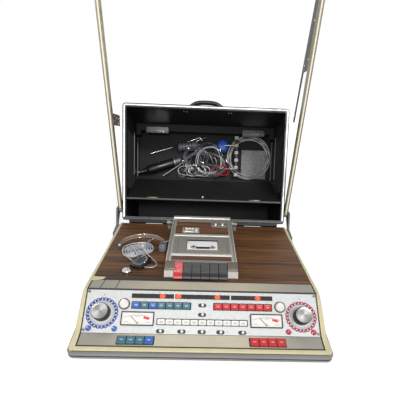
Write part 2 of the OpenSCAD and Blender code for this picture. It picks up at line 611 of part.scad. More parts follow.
module stays() color("gray") placed() {
    plate_x = box_x + 3;
    gusset_z = pivot_z + 344;
    yz([[pivot_y + rail_d / 2, gusset_z], [pivot_y + rail_d / 2, frame_top], [pivot_y + 33, frame_top],
        [pivot_y + 51, gusset_z], [pivot_y + 62, gusset_z - 115], [pivot_y + 54, gusset_z - 115], [pivot_y + 43, gusset_z - 6]],
        plate_x, plate_x + 2.5);
    yz([[pivot_y + rail_d / 2, pivot_z + 213], [pivot_y + rail_d / 2, pivot_z + 240], [pivot_y + 72, pivot_z + 228],
        [pivot_y + 62, pivot_z + 204]], -plate_x - 2.5, -plate_x);
    for (i = [0 : 3]) translate([-plate_x - 1, pivot_y + 63.7 + 2.6 * i, pivot_z + 204 + i * 6.2]) rotate([-lean, 0, 0]) cylinder(r = 2, h = 4.6);
}

// ---------- accessories in the box ----------
module earphone() {
    cylinder(r = 21, h = 17);
    translate([0, 0, 17]) cylinder(r1 = 19, r2 = 13, h = 5);
}
// Two earphones joined by a headband that lies across the coiled lead
module headset() color("royalblue") in_box() {
    for (a = [248, 176]) {
        translate([58, back_b, a]) rotate([90, 0, 0]) earphone();
        translate([0, back_b - 22, a]) rod_x(58, 95, 2);
    }
    slab(93, 105, back_b - 27.3, back_b - 2 * coil_t - seat_gap, 152, 276);
}
module microphone() color("black") in_box() translate([-196, back_b - 14, 160]) rotate([0, 72, 0]) {
    cylinder(r = 11, h = 16);
    translate([0, 0, 16]) cylinder(r = 14, h = 104);
    translate([0, 0, 120]) cylinder(r1 = 14, r2 = 9, h = 12);
}
module headset_lead() color("gray") in_box() translate([coil_x, back_b - coil_t, coil_a]) rotate([90, 0, 0])
    rotate_extrude() translate([coil_r, 0]) circle(r = coil_t, $fn = 24);
module black_leads() color("black") in_box() slab(-110, 32, back_b - 30, back_b, shelf_a + seat_gap, shelf_a + 20);

// ---------- bone receiver on the deck ----------
module bone_receiver() color("lightgray") placed() translate([-142, -138, deck_z + seat_gap]) {
    rotate_extrude(angle = 170) translate([50, 0]) square([1.6, 9]);
    translate([-51, -6, 0]) cylinder(r = 8, h = 14);
    translate([51, -6, 0]) cylinder(r = 6, h = 12);
    translate([-15, -105, 0]) cylinder(r = 7, h = 6);
}
module receiver_lead() color("gray") placed() translate([-142, -163, deck_z + seat_gap + 5])
    rotate_extrude() translate([28, 0]) circle(r = 5, $fn = 24);

base_tray();
rubber_feet();
tray_rim();
console_sides();
cream_seal();
wood_deck();
top_strip();
control_panel();
lower_strip();
dial_rings();
button_bezels();
level_meters();
indicator_windows();
indicator_lamps();
potentiometers();
chassis();
circuit_board();
power_transformer();
recorder_body();
recorder_trim();
recorder_inlay();
cassette();
panel_screws();
rail_pivots();
box_hinge_pin();
left_knob();
right_knob();
left_round_button();
right_round_button();
blue_small_buttons();
red_small_buttons();
blue_keys();
red_keys();
white_keys();
slide_keys();
left_bars();
right_bars();
left_needle();
right_needle();
recorder_lid();
record_key();
rewind_key();
forward_key();
play_key();
stop_key();
pause_key();
box_shell();
box_rim();
flap_door();
box_fittings();
carry_handle();
side_rails();
far_wall();
stays();
headset();
microphone();
headset_lead();
black_leads();
bone_receiver();
receiver_lead();
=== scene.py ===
import json
import random
from math import asin, cos, degrees, pi, radians, sin, sqrt

import bpy
import bmesh
from mathutils import Matrix, Vector

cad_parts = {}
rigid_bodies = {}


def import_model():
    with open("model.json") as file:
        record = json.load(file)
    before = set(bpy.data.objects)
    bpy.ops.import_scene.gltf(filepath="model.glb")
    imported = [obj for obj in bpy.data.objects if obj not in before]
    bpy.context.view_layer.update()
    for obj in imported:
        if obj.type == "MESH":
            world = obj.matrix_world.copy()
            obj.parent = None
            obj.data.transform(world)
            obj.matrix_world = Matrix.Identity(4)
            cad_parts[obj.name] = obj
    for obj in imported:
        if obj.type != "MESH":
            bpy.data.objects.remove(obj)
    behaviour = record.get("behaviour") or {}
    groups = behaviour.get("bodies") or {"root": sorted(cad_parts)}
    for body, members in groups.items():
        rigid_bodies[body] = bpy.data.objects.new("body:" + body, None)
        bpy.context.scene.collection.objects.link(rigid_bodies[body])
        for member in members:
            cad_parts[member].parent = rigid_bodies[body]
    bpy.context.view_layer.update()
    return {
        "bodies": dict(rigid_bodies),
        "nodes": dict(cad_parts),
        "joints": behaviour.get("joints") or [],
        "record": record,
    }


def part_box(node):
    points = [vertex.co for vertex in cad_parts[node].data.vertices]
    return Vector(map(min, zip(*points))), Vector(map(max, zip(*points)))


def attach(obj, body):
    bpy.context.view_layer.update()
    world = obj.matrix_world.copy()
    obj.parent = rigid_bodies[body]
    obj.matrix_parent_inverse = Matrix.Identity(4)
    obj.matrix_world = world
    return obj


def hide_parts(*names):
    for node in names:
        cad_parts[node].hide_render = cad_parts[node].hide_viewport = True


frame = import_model()
NODE = frame["nodes"]
NODE_SLOT = {part["node"]: part["material_slot"] for part in frame["record"]["subparts"]}
MM = 0.001

# ---------- sizes, in millimetres, as the CAD has them ----------
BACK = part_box("tray_rim")[1][1]          # in metres: where the deck's back edge lies in the shared frame
DECK_Z, DECK_LEN = 88.0, 273.0
KINK_Y = -304.0                          # the front of the top strip, where the control panel begins
PANEL_LEN, PANEL_TILT = 83.0, 36.5
LOWER_LEN, LOWER_TILT = 27.5, 12.0


def down(start, length, tilt):
    """The lower end of a panel that starts at (y, z) and slopes towards the front."""
    return start[0] - length * cos(radians(tilt)), start[1] - length * sin(radians(tilt))


PANEL_END = down((KINK_Y, DECK_Z), PANEL_LEN, PANEL_TILT)
LOWER_END = down(PANEL_END, LOWER_LEN, LOWER_TILT)
SEAL_Y = LOWER_END[0] - 8.0
HALF_W, SEAL_X, RIM_X = 218.0, 218.5, 231.5
RIM_FRONT, RIM_REAR = (SEAL_Y - 7.0, LOWER_END[1] - 3.0), (0.0, 84.0)
REC_BACK_H, REC_KEY_H, REC_LEN, REC_BACK_Y = 30.0, 19.5, 215.0, -15
LEAN, FLAP_OPEN = 24.6, 117.5
BOX_X, BOX_A0, BOX_A1, INNER_X = 219.5, 4.0, 307.0, 211.5
FLAP_B, BOARD_A = 138, 133.0             # the flap's hinge, into the box and along it
RAIL_X, RAIL_TOP = (221.5, 231.0), 601.0
PIVOT = (25.0, 115.0)


def place(y, z, tilt):
    """A frame in millimetres at a place of the case, turned about X."""
    return (Matrix.Translation((0, BACK + y * MM, z * MM))
            @ Matrix.Rotation(radians(tilt), 4, "X") @ Matrix.Scale(MM, 4))


def moved(frame, where, angle=0, axis="Z"):
    """A frame that is moved and then turned within another one."""
    return frame @ Matrix.Translation(where) @ Matrix.Rotation(radians(angle), 4, axis)


CASE = place(0, 0, 0)
PANEL = place(KINK_Y, DECK_Z, PANEL_TILT)
LOWER = place(*PANEL_END, LOWER_TILT)
DECK = place(0, DECK_Z, 0)
REC = place(REC_BACK_Y, DECK_Z + REC_BACK_H, degrees(asin((REC_BACK_H - REC_KEY_H) / REC_LEN)))
BOX = place(0, DECK_Z + 4, -LEAN)
FLAP = moved(BOX, (0, FLAP_B, BOARD_A), FLAP_OPEN, "X")


# ---------- materials ----------
def srgb(*rgb):
    """A colour of 0 to 255 as Blender's linear values, with full opacity."""
    return [((c / 255 + 0.055) / 1.055) ** 2.4 if c > 10 else c / 255 / 12.92 for c in rgb] + [1]


def tint(rgb, k):
    """A colour made k times as bright."""
    return [min(1, c * k) for c in srgb(*rgb)[:3]] + [1]


def uneven(rgb, vary):
    """Stops from a little darker to a little lighter than a colour."""
    return [(0.3, tint(rgb, 1 - vary)), (0.7, tint(rgb, 1 + vary))]


def feed(links, socket, value):
    """Links a socket to another node's output, or sets it to a number or a colour."""
    if isinstance(value, bpy.types.NodeSocket):
        links.new(value, socket)
    elif value is not None:
        socket.default_value = value


def add_node(tree, kind, inputs=(), **settings):
    """A new node with these settings and inputs."""
    node = tree.nodes.new("ShaderNode" + kind)
    for key, value in settings.items():
        setattr(node, key, value)
    for socket, value in dict(inputs).items():
        feed(tree.links, node.inputs[socket], value)
    return node


class Tree:
    """A small builder for the nodes of one material."""

    SOCKETS = {"rough": "Roughness", "metal": "Metallic", "coat": "Coat Weight", "spec": "Specular IOR Level",
               "alpha": "Alpha", "colour": "Base Color"}

    def __init__(self, name):
        self.mat = bpy.data.materials.new(name)
        self.mat.use_nodes = True
        self.tree = self.mat.node_tree
        self.shader = self.tree.nodes["Principled BSDF"]
        self.coords = self.node("TexCoord").outputs["Object"]

    def node(self, kind, inputs=(), **settings):
        return add_node(self.tree, kind, inputs, **settings)

    def set(self, **values):
        for key, value in values.items():
            feed(self.tree.links, self.shader.inputs[self.SOCKETS[key]], value)

    def noise(self, scale, detail=3.0, rough=0.5, distort=0.0):
        scale = scale if hasattr(scale, "__len__") else (scale,) * 3
        where = self.node("Mapping", {"Vector": self.coords, "Scale": scale}).outputs["Vector"]
        return self.node("TexNoise", {"Vector": where, "Scale": 1.0, "Detail": detail, "Roughness": rough,
                                      "Distortion": distort}).outputs["Fac"]

    def ramp(self, fac, stops):
        node = self.node("ValToRGB", {"Fac": fac})
        marks = node.color_ramp.elements
        while len(marks) < len(stops):
            marks.new(0.5)
        for mark, (at, colour) in zip(marks, stops):
            mark.position = at
            mark.color = colour
        return node.outputs["Color"]

    def math(self, op, a, b=None, clamp=False):
        return self.node("Math", {0: a, 1: b}, operation=op, use_clamp=clamp).outputs["Value"]

    def mix(self, fac, a, b, kind="MIX"):
        return self.node("Mix", {"Factor": fac, "A": a, "B": b}, data_type="RGBA", blend_type=kind).outputs["Result"]

    def bump(self, height, strength, distance=0.0001):
        node = self.node("Bump", {"Strength": strength, "Distance": distance, "Height": height})
        self.tree.links.new(node.outputs["Normal"], self.shader.inputs["Normal"])

    def gloss(self, fac, low, high):
        """Roughness that follows a pattern."""
        self.set(rough=self.node("MapRange", {"Value": fac, "To Min": low, "To Max": high}).outputs["Result"])


def plain(name, rgb, rough=0.5, metal=0.0, vary=0.1, grain=60, fine=900, bump=0.15, **more):
    """Moulded or painted surface: soft uneven colour, fine grain in the gloss and a little relief."""
    t = Tree(name)
    wear = 0.08
    big, small = t.noise(grain, 4), t.noise(fine, 2)
    t.set(colour=t.ramp(big, uneven(rgb, vary)), metal=metal, **more)
    t.gloss(small, max(0.02, rough - wear), min(1, rough + wear))
    t.bump(small, bump, 0.0002)
    return t.mat


def brushed(name, rgb, rough=0.35, metal=1.0):
    """Metal with fine lines along X."""
    t = Tree(name)
    lines, patch = t.noise((12, 2500, 2500), 3, 0.6), t.noise(25, 3)
    t.set(colour=t.ramp(t.mix(0.45, lines, patch), uneven(rgb, 0.12)), metal=metal)
    t.gloss(lines, rough - 0.08, rough + 0.1)
    t.bump(lines, 0.12)
    return t.mat


def strip_metal():
    """Satin strip: grey at the ends, warmer in the middle."""
    t = Tree("strip_metal")
    lines, patch = t.noise((14, 2600, 2600), 3, 0.6), t.noise(22, 3)
    along = t.node("SeparateXYZ", {"Vector": t.coords}).outputs["X"]
    middle = t.math("SUBTRACT", 1.0, t.math("MULTIPLY", t.math("ABSOLUTE", along), 5.4), clamp=True)
    base = t.ramp(middle, [(0.0, srgb(158, 154, 144)), (0.55, srgb(200, 192, 170))])
    worn = t.ramp(t.mix(0.5, lines, patch), [(0.3, [0.55, 0.55, 0.55, 1]), (0.7, [1, 1, 1, 1])])
    t.set(colour=t.mix(0.35, base, worn, "MULTIPLY"), metal=0.35)
    t.gloss(lines, 0.34, 0.5)
    t.bump(lines, 0.1)
    return t.mat


def walnut(name, dark, light, k=1.0):
    """Wood laminate whose grain runs from left to right; k makes its pattern finer."""
    t = Tree(name)
    streak = t.noise((7 * k, 190 * k, 190 * k), 7, 0.7, 0.3)
    broad = t.noise((2.2 * k, 28 * k, 28 * k), 3, 0.5, 0.8)
    pores = t.noise((60 * k, 1500 * k, 1500 * k), 2, 0.5)
    dark, light = srgb(*dark), srgb(*light)
    middle = [(a + b) / 2 for a, b in zip(dark, light)]
    body = t.ramp(t.mix(0.42, streak, broad), [(0.38, dark), (0.5, middle), (0.6, light)])
    pore = t.ramp(pores, [(0.3, [0.55, 0.5, 0.45, 1]), (0.48, [1, 1, 1, 1])])
    t.set(colour=t.mix(0.6, body, pore, "MULTIPLY"), metal=0, spec=0.35)
    t.gloss(streak, 0.42, 0.6)
    t.bump(pores, 0.12, 0.0002)
    return t.mat


def turned_metal(name, rgb):
    """A face turned on a lathe: fine rings and fine streaks that run out from the centre of the piece, with two bright
    and two dark wedges round the centre that are painted highlight and painted shade.
    """
    t = Tree(name)
    round_about = t.node("TexGradient", {"Vector": t.coords}, gradient_type="RADIAL").outputs["Fac"]
    # painted highlight and painted shade: two bright and two dark wedges round the centre of the cap
    painted_wedges = t.math("SINE", t.math("MULTIPLY", round_about, 4 * pi))
    fine = t.math("SINE", t.math("MULTIPLY", round_about, 94 * pi))
    shade = t.math("ADD", t.math("MULTIPLY", painted_wedges, 0.42), t.math("MULTIPLY", fine, 0.08))
    shade = t.math("ADD", t.math("MULTIPLY", shade, 0.5), 0.5)
    t.set(colour=t.ramp(shade, [(0.12, tint(rgb, 0.3)), (0.5, tint(rgb, 0.62)), (0.82, tint(rgb, 1.25))]),
          metal=0.45, rough=0.3)
    ring = t.node("TexWave", {"Vector": t.coords, "Scale": 700}, wave_type="RINGS", rings_direction="Z")
    t.bump(ring.outputs["Fac"], 0.12)
    return t.mat


M = {
    "tray": plain("case_grey_paint", (92, 92, 92), bump=0.3, fine=1400),
    "rubber": plain("foot_rubber", (28, 28, 28), 0.8, bump=0.3),
    "rim": brushed("rim_aluminium", (142, 140, 138), 0.36, metal=0.9),
    "cream": plain("cream_rubber", (200, 190, 152), 0.6, vary=0.06, bump=0.25, fine=700),
    "walnut": walnut("walnut_laminate", (44, 26, 14), (124, 82, 46)),
    "inlay": walnut("recorder_walnut", (60, 38, 26), (124, 86, 60), 1.6),
    "strip": strip_metal(),
    "panel": plain("panel_silver_print", (197, 199, 198), metal=0.15, vary=0.05, grain=160, fine=1800, bump=0.1),
    "black": plain("black_plastic", (20, 20, 21), 0.42, vary=0.25, bump=0.2),
    "shell": plain("black_shell", (12, 12, 12), 0.56, vary=0.3, grain=18, bump=0.25, fine=500, spec=0.32),
    "flap": plain("flap_black", (16, 16, 17), vary=0.25, grain=14, bump=0.25, fine=700),
    "grey": brushed("grey_steel", (120, 116, 110), 0.45),
    "brace": plain("brace_grey", (104, 94, 80), 0.55, metal=0.4, vary=0.35, grain=300, bump=0.4),
    "chassis": brushed("chassis_sheet", (170, 172, 174), 0.4),
    "board": plain("board_green", (24, 82, 50), 0.4),
    "iron": plain("iron_core", (52, 52, 54), 0.6, metal=0.6),
    "recorder": plain("recorder_silver", (140, 136, 128), 0.45, metal=0.35, vary=0.07, grain=200, fine=2000),
    "bright": brushed("bright_bar", (222, 218, 210), 0.3, metal=0.6),
    "white": plain("white_plastic", (218, 216, 210), 0.3, vary=0.03, bump=0.05, coat=0.3),
    "smoke": plain("smoked_window", (38, 34, 33), 0.15, bump=0.02),
    "lamp": plain("lamp_lens", (255, 92, 40), 0.3),
    "chrome": plain("chrome_plate", (214, 214, 214), 0.16, metal=1.0, vary=0.05, bump=0.05),
    "blue": plain("key_blue", (48, 92, 168), 0.32, coat=0.3),
    "teal": plain("key_teal", (62, 102, 116), 0.35, vary=0.12, coat=0.2),
    "red": plain("key_red", (184, 36, 40), 0.34, coat=0.2),
    "needle": plain("needle_black", (20, 20, 20)),
    "phone_blue": plain("earphone_blue", (50, 100, 210), 0.3, coat=0.4),
    "clear": plain("receiver_plastic", (190, 184, 176), 0.25, coat=0.3),
    # the groove's dark colour is painted shade
    "groove": plain("rim_groove", (38, 36, 34), 0.6),
    "line": plain("dark_gasket", (44, 38, 34), 0.6),
    "meter": plain("meter_card", (222, 219, 212), 0.4, vary=0.04, coat=0.25),
    "paper": plain("label_paper", (240, 240, 238), 0.7, vary=0.03),
    "piano": plain("piano_black", (28, 26, 27), 0.42, vary=0.15),
    "box_rim": brushed("box_rim_metal", (236, 238, 240), metal=0.35),
    "rim_edge": plain("box_rim_edge", (74, 74, 76), 0.42, metal=0.6, vary=0.2),
    "latch": plain("latch_grey", (118, 116, 110), 0.4, metal=0.6, vary=0.3),
    "brass": plain("catch_brass", (178, 160, 120), 0.3, metal=0.9, vary=0.2),
    "lining": plain("back_lining", (15, 15, 16), 0.62, vary=0.35, grain=12, bump=0.3, spec=0.3),
    "handle": plain("handle_black", (30, 30, 30), 0.36, vary=0.2),
    "phone_red": plain("earphone_red", (150, 22, 34), 0.2, coat=0.6),
    "band_grey": plain("headband_grey", (176, 176, 174), 0.4, vary=0.15),
    "mesh": plain("wire_mesh", (96, 98, 102), 0.4, metal=0.7, fine=3000, bump=0.8),
    "slate": plain("slate_plastic", (104, 106, 112), 0.35, vary=0.12),
    "foam": plain("foam_grey", (152, 152, 152), 0.9, vary=0.6, grain=420, fine=2500, bump=0.6),
    "knob_cap": turned_metal("knob_cap", (196, 194, 190)),
    "corner": brushed("corner_casting", (112, 105, 96), 0.4, metal=0.6),
    "halo": plain("lamp_halo", (112, 26, 14), 0.3),
    # ribs drawn light grey on the black shell: painted highlight
    "rib": plain("rib_painted_highlight", (84, 84, 86), 0.4, metal=0.3),
}

# looks whose material has the same name: colour, roughness and the rest
for key, rgb, rough, more in (
        ("lead_grey", (178, 178, 174), 0.4, {"coat": 0.3}),
        ("lead_black", (40, 40, 42), 0.3, {"coat": 1.0, "spec": 1.0}),
        ("lead_silver", (200, 202, 207), 0.3, {"metal": 0.35, "vary": 0.2}),
        ("lead_red", (150, 40, 50), 0.4, {}),
        # black leads drawn in grey metal: painted highlight on black cords
        ("lead_gloss", (104, 104, 108), 0.26, {"metal": 0.8, "vary": 0.4}),
        ("ink_dark", (38, 38, 40), 0.6, {"vary": 0.03}),
        ("ink_grey", (120, 122, 126), 0.6, {"vary": 0.03}),
        ("ink_soft", (168, 170, 174), 0.6, {"vary": 0.03}),
        ("ink_white", (206, 216, 226), 0.6, {"vary": 0.03}),
        ("ink_pale", (238, 176, 170), 0.6, {"vary": 0.03}),
        ("ink_red", (196, 52, 60), 0.6, {"vary": 0.05}),
        ("dial_blue", (42, 52, 132), 0.5, {"vary": 0.06}),
        ("dial_red", (146, 26, 58), 0.5, {"vary": 0.06}),
        ("small_red", (178, 34, 62), 0.34, {"coat": 0.3}),
        ("hinge_black", (40, 40, 42), 0.4, {"metal": 0.5}),
        # grey edge of the black flap: painted highlight
        ("flap_edge", (78, 78, 78), 0.42, {"vary": 0.2}),
        ("rail_edge", (132, 126, 110), 0.4, {"metal": 0.5, "vary": 0.2, "grain": 40}),
        ("rail_core", (238, 232, 204), 0.5, {"vary": 0.05}),
        ("brace_dark", (72, 70, 66), 0.45, {"metal": 0.5, "vary": 0.3}),
        ("gloss_black", (26, 26, 28), 0.24, {"vary": 0.2, "coat": 0.3}),
        ("silver_dark", (150, 152, 156), 0.3, {"metal": 0.8}),
        ("clear_band", (196, 176, 164), 0.1, {"coat": 0.8, "alpha": 0.28}),
        ("knob_side", (66, 64, 62), 0.3, {"metal": 0.6})):
    M[key] = plain(key, rgb, rough, **more)

for key, rgb, strength in (("lamp", (255, 66, 22), 0.55), ("halo", (150, 20, 8), 0.25)):
    glow = M[key].node_tree.nodes["Principled BSDF"].inputs
    glow["Emission Color"].default_value = srgb(*rgb)
    glow["Emission Strength"].default_value = strength

NODE_LOOK = {
    "tray": "base_tray rail_pivots", "rubber": "rubber_feet", "rim": "tray_rim console_sides box_rim side_rails",
    "cream": "cream_seal", "walnut": "wood_deck", "inlay": "recorder_inlay", "strip": "top_strip lower_strip",
    "panel": "control_panel dial_rings", "shell": "box_shell", "flap": "flap_door",
    "black": "button_bezels carry_handle far_wall microphone rewind_key forward_key play_key stop_key pause_key",
    "grey": "potentiometers panel_screws", "hinge_black": "box_hinge_pin", "brace": "stays", "chassis": "chassis",
    "board": "circuit_board", "iron": "power_transformer", "recorder": "recorder_body recorder_lid",
    "bright": "recorder_trim", "white": "level_meters cassette left_round_button right_round_button white_keys",
    "smoke": "indicator_windows", "lamp": "indicator_lamps", "chrome": "box_fittings left_knob right_knob slide_keys",
    "blue": "blue_small_buttons blue_keys", "teal": "left_bars",
    "red": "red_small_buttons red_keys right_bars record_key", "needle": "left_needle right_needle",
    "phone_blue": "headset", "lead_grey": "headset_lead receiver_lead", "lead_black": "black_leads",
    "clear": "bone_receiver",
}
for key, names in NODE_LOOK.items():
    for name in names.split():
        NODE[name].data.materials.clear()
        NODE[name].data.materials.append(M[key])


# ---------- mesh code ----------
def turn(steps, start=0.0, sweep=360.0, ends=False):
    """Angles in radians, evenly spaced; ends includes the last one."""
    return [radians(start + sweep * i / steps) for i in range(steps + 1 if ends else steps)]


def polar(cx, cy, radius, a):
    """The place at an angle and a distance from a centre."""
    return cx + radius * cos(a), cy + radius * sin(a)


def arc(cx, cy, radius, start, sweep, steps=8):
    """Points along a piece of a circle, both ends included."""
    return [polar(cx, cy, radius, a) for a in turn(steps, start, sweep, True)]


def rounded(cx, cy, width, length, radius, steps=4):
    """Outline of a rectangle with round corners."""
    x, y = width / 2 - radius, length / 2 - radius
    corners = ((x, -y, -90), (x, y, 0), (-x, y, 90), (-x, -y, 180))
    return [p for dx, dy, start in corners for p in arc(cx + dx, cy + dy, radius, start, 90, steps)]


def flowing(points, per=6):
    """A smooth line through listed points."""
    pts = [Vector(p) for p in points]
    pts = [2 * pts[0] - pts[1]] + pts + [2 * pts[-1] - pts[-2]]
    out = []
    for a, b, c, d in zip(pts, pts[1:], pts[2:], pts[3:]):
        for i in range(per):
            t = i / per
            square, cube = 2 * a - 5 * b + 4 * c - d, 3 * b - 3 * c + d - a
            out.append(0.5 * (2 * b + (c - a) * t + square * t * t + cube * t ** 3))
    return out + [pts[-2]]


def soft_edges(piece, width, angle):
    """Rounds the edges of a piece that are sharper than an angle, by a width in millimetres."""
    edges = piece.modifiers.new("soft_edges", "BEVEL")
    edges.width = width * MM
    edges.segments = 2
    edges.limit_method = "ANGLE"
    edges.angle_limit = radians(angle)


class Form:
    """A mesh in one of the frames above, in millimetres."""

    def __init__(self, frame=CASE):
        self.bm = bmesh.new()
        self.frame = frame
        self.look = 0

    def rings(self, rings, closed=True, loop=False, caps=True):
        """Skins rings of points. closed joins the ends of each ring, loop joins the last ring to the first."""
        made = [[self.bm.verts.new(p) for p in ring] for ring in rings]
        count = len(rings[0])
        pairs = list(zip(made, made[1:]))
        if loop:
            pairs.append((made[-1], made[0]))
        faces = [self.bm.faces.new((a[i], a[(i + 1) % count], b[(i + 1) % count], b[i]))
                 for a, b in pairs for i in range(count if closed else count - 1)]
        if caps and closed and not loop:
            faces += [self.bm.faces.new(made[0][::-1]), self.bm.faces.new(made[-1])]
        for face in faces:
            face.material_index = self.look

    def box(self, x, y, z):
        self.rings([[(x[0], y[0], h), (x[1], y[0], h), (x[1], y[1], h), (x[0], y[1], h)] for h in z])

    def prism(self, outline, low, high, axis="z"):
        """An outline pulled along z, or along x with the outline in (y, z), or along y with it in (x, z)."""
        put = {"z": lambda a, b, h: (a, b, h), "x": lambda a, b, h: (h, a, b), "y": lambda a, b, h: (a, h, b)}[axis]
        self.rings([[put(a, b, h) for a, b in outline] for h in (low, high)])

    def turned(self, centre, profile, steps=32):
        """A solid turned about an upright axis; profile is a list of (radius, height)."""
        x, y, z = centre
        self.rings([[(*polar(x, y, r, a), z + h) for a in turn(steps)] for r, h in profile])

    def turned_x(self, centre, profile, steps=24):
        """A solid turned about an axis along x; profile is a list of (radius, distance along x)."""
        x, y, z = centre
        self.rings([[(x + h, y + r * cos(a), z + r * sin(a)) for a in turn(steps)] for r, h in profile])

    def band(self, cx, cy, inner, outer, start, sweep, low, high, steps=6):
        """A piece of a flat ring."""
        out, back = arc(cx, cy, outer, start, sweep, steps), arc(cx, cy, inner, start + sweep, -sweep, steps)
        self.prism(out + back, low, high)

    def frame_ring(self, outside, inside, low, high):
        """A flat frame between two outlines with as many points."""
        self.rings([[(x, y, low) for x, y in inside], [(x, y, high) for x, y in inside],
                    [(x, y, high) for x, y in outside], [(x, y, low) for x, y in outside]], loop=True)

    def cap(self, cx, cy, width, length, radius, low, high, edge=0.8, dish=0.4):
        """A key cap: straight sides, a soft top edge and a slightly hollow top."""
        steps = ((0, low), (0, high - edge), (edge * 0.35, high - edge * 0.3), (edge, high),
                 (edge + 1.2, high - dish * 0.6), (min(width, length) / 2 - 0.8, high - dish))
        self.rings([[(x, y, z) for x, y in rounded(cx, cy, width - 2 * inset, length - 2 * inset,
                                                   max(0.15, radius - inset * 0.3))] for inset, z in steps])

    def tube(self, points, radius, sides=10, flat=1.0):
        """A tube along points; radius is one number or one for each point."""
        pts = [Vector(p) for p in points]
        side, rings = None, []
        for i, p in enumerate(pts):
            ahead = (pts[min(i + 1, len(pts) - 1)] - pts[max(i - 1, 0)]).normalized()
            side = ahead.orthogonal() if side is None else side - ahead * side.dot(ahead)
            side.normalize()
            up = ahead.cross(side)
            r = radius[i] if hasattr(radius, "__len__") else radius
            rings.append([p + side * r * cos(a) + up * r * flat * sin(a) for a in turn(sides)])
        self.rings(rings)

    def ball(self, centre, radius, squash=1.0, steps=16):
        """A ball, or an oval one when squash isn't 1."""
        self.turned(centre, [(radius * sin(a), -radius * squash * cos(a))
                             for a in turn(10, 4, 172, True)], steps)

    def done(self, name, body, looks, bevel=0.0, replaces=(), slot=None, origin=None, smooth=35):
        """Makes the piece. With an origin, the piece has its own axes there, for materials that need a centre."""
        bmesh.ops.recalc_face_normals(self.bm, faces=self.bm.faces)
        mesh = bpy.data.meshes.new(name)
        self.bm.to_mesh(mesh)
        self.bm.free()
        piece = bpy.data.objects.new(name, mesh)
        bpy.context.scene.collection.objects.link(piece)
        if origin is None:
            mesh.transform(self.frame)
        else:
            mesh.transform(Matrix.Scale(MM, 4) @ Matrix.Translation([-v for v in origin]))
            where, spin, _ = (self.frame @ Matrix.Translation(origin)).decompose()
            piece.matrix_world = Matrix.LocRotScale(where, spin, None)
        for look in looks.split():
            mesh.materials.append(M[look])
        if bevel:
            soft_edges(piece, bevel, 35)
        mesh.shade_smooth()
        mesh.set_sharp_from_angle(angle=radians(smooth))
        bpy.context.view_layer.update()
        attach(piece, body)
        if replaces:
            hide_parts(*replaces)
            slot = slot or NODE_SLOT[replaces[0]]
        return piece


def soften(names, width):
    """Rounds the edges of CAD nodes that are shown as they are."""
    for name in names.split():
        weld = NODE[name].modifiers.new("weld", "WELD")
        weld.merge_threshold = 1e-6
        soft_edges(NODE[name], width, 40)


# ---------- case ----------
RIM_CORNER = 13.0
RIM_PROFILE = ((-10, -0.6), (-9, 0), (-1.6, 0), (-0.4, -0.5), (0, -1.6), (0, -4.2), (-0.4, -4.8), (-1.4, -5.0),
               (-1.4, -7.2), (-0.4, -7.4), (0, -8.0), (0, -10.8), (-1, -12), (-10, -12))


def rim_top(y):
    """Height of the sloping rim's top at a place along the case."""
    return RIM_FRONT[1] + (RIM_REAR[1] - RIM_FRONT[1]) * (y - RIM_FRONT[0]) / (RIM_REAR[0] - RIM_FRONT[0])


def case_line():
    """Points and outward directions round the case, seen from above."""
    x, front = RIM_X - RIM_CORNER, RIM_FRONT[0] + RIM_CORNER
    for cx, cy, start in ((x, front, -90), (x, -RIM_CORNER, 0), (-x, -RIM_CORNER, 90), (-x, front, 180)):
        for a in turn(7, start, 90, True):
            out = Vector((cos(a), sin(a)))
            yield Vector((cx, cy)) + RIM_CORNER * out, out


def rim_band():
    """The grooved aluminium band round the case, with a dark sheet in its groove as painted shade."""
    line = list(case_line())
    f = Form()
    f.rings([[(*(p + out * d), rim_top(p.y) + h) for d, h in RIM_PROFILE] for p, out in line], loop=True, caps=False)
    # painted shade: a dark sheet over the face of the groove
    f.look = 1
    f.rings([[(*(p - out * 1.25), rim_top(p.y) + h) for h in (-5.05, -7.15)] for p, out in line],
            closed=False, loop=True, caps=False)
    f.done("rim_band", "console", "rim groove", replaces=["tray_rim"], slot="rim_metal", smooth=40)


def seal_line():
    """The seal's top edge from the back of the deck to the front, as (y, z), with soft bends."""
    corners = [Vector(c) for c in ((0, DECK_Z), (KINK_Y, DECK_Z), PANEL_END, LOWER_END, (SEAL_Y, LOWER_END[1] - 1))]
    line = [corners[0], Vector((-150, DECK_Z))]
    for a, b, c in zip(corners, corners[1:], corners[2:]):
        reach = min(16, (c - b).length / 2, (b - a).length / 2)
        before, after = b + (a - b).normalized() * reach, b + (c - b).normalized() * reach
        for i in range(7):
            t = i / 6
            line.append(before * (1 - t) ** 2 + b * 2 * t * (1 - t) + after * t * t)
    return line + [corners[-1] + Vector((2, 0)), corners[-1]]


def between(table, at):
    """A value read from a short table whose first column falls."""
    for (a, va), (b, vb) in zip(table, table[1:]):
        if at >= b:
            return va + (vb - va) * min(1, (a - at) / (a - b))
    return table[-1][1]


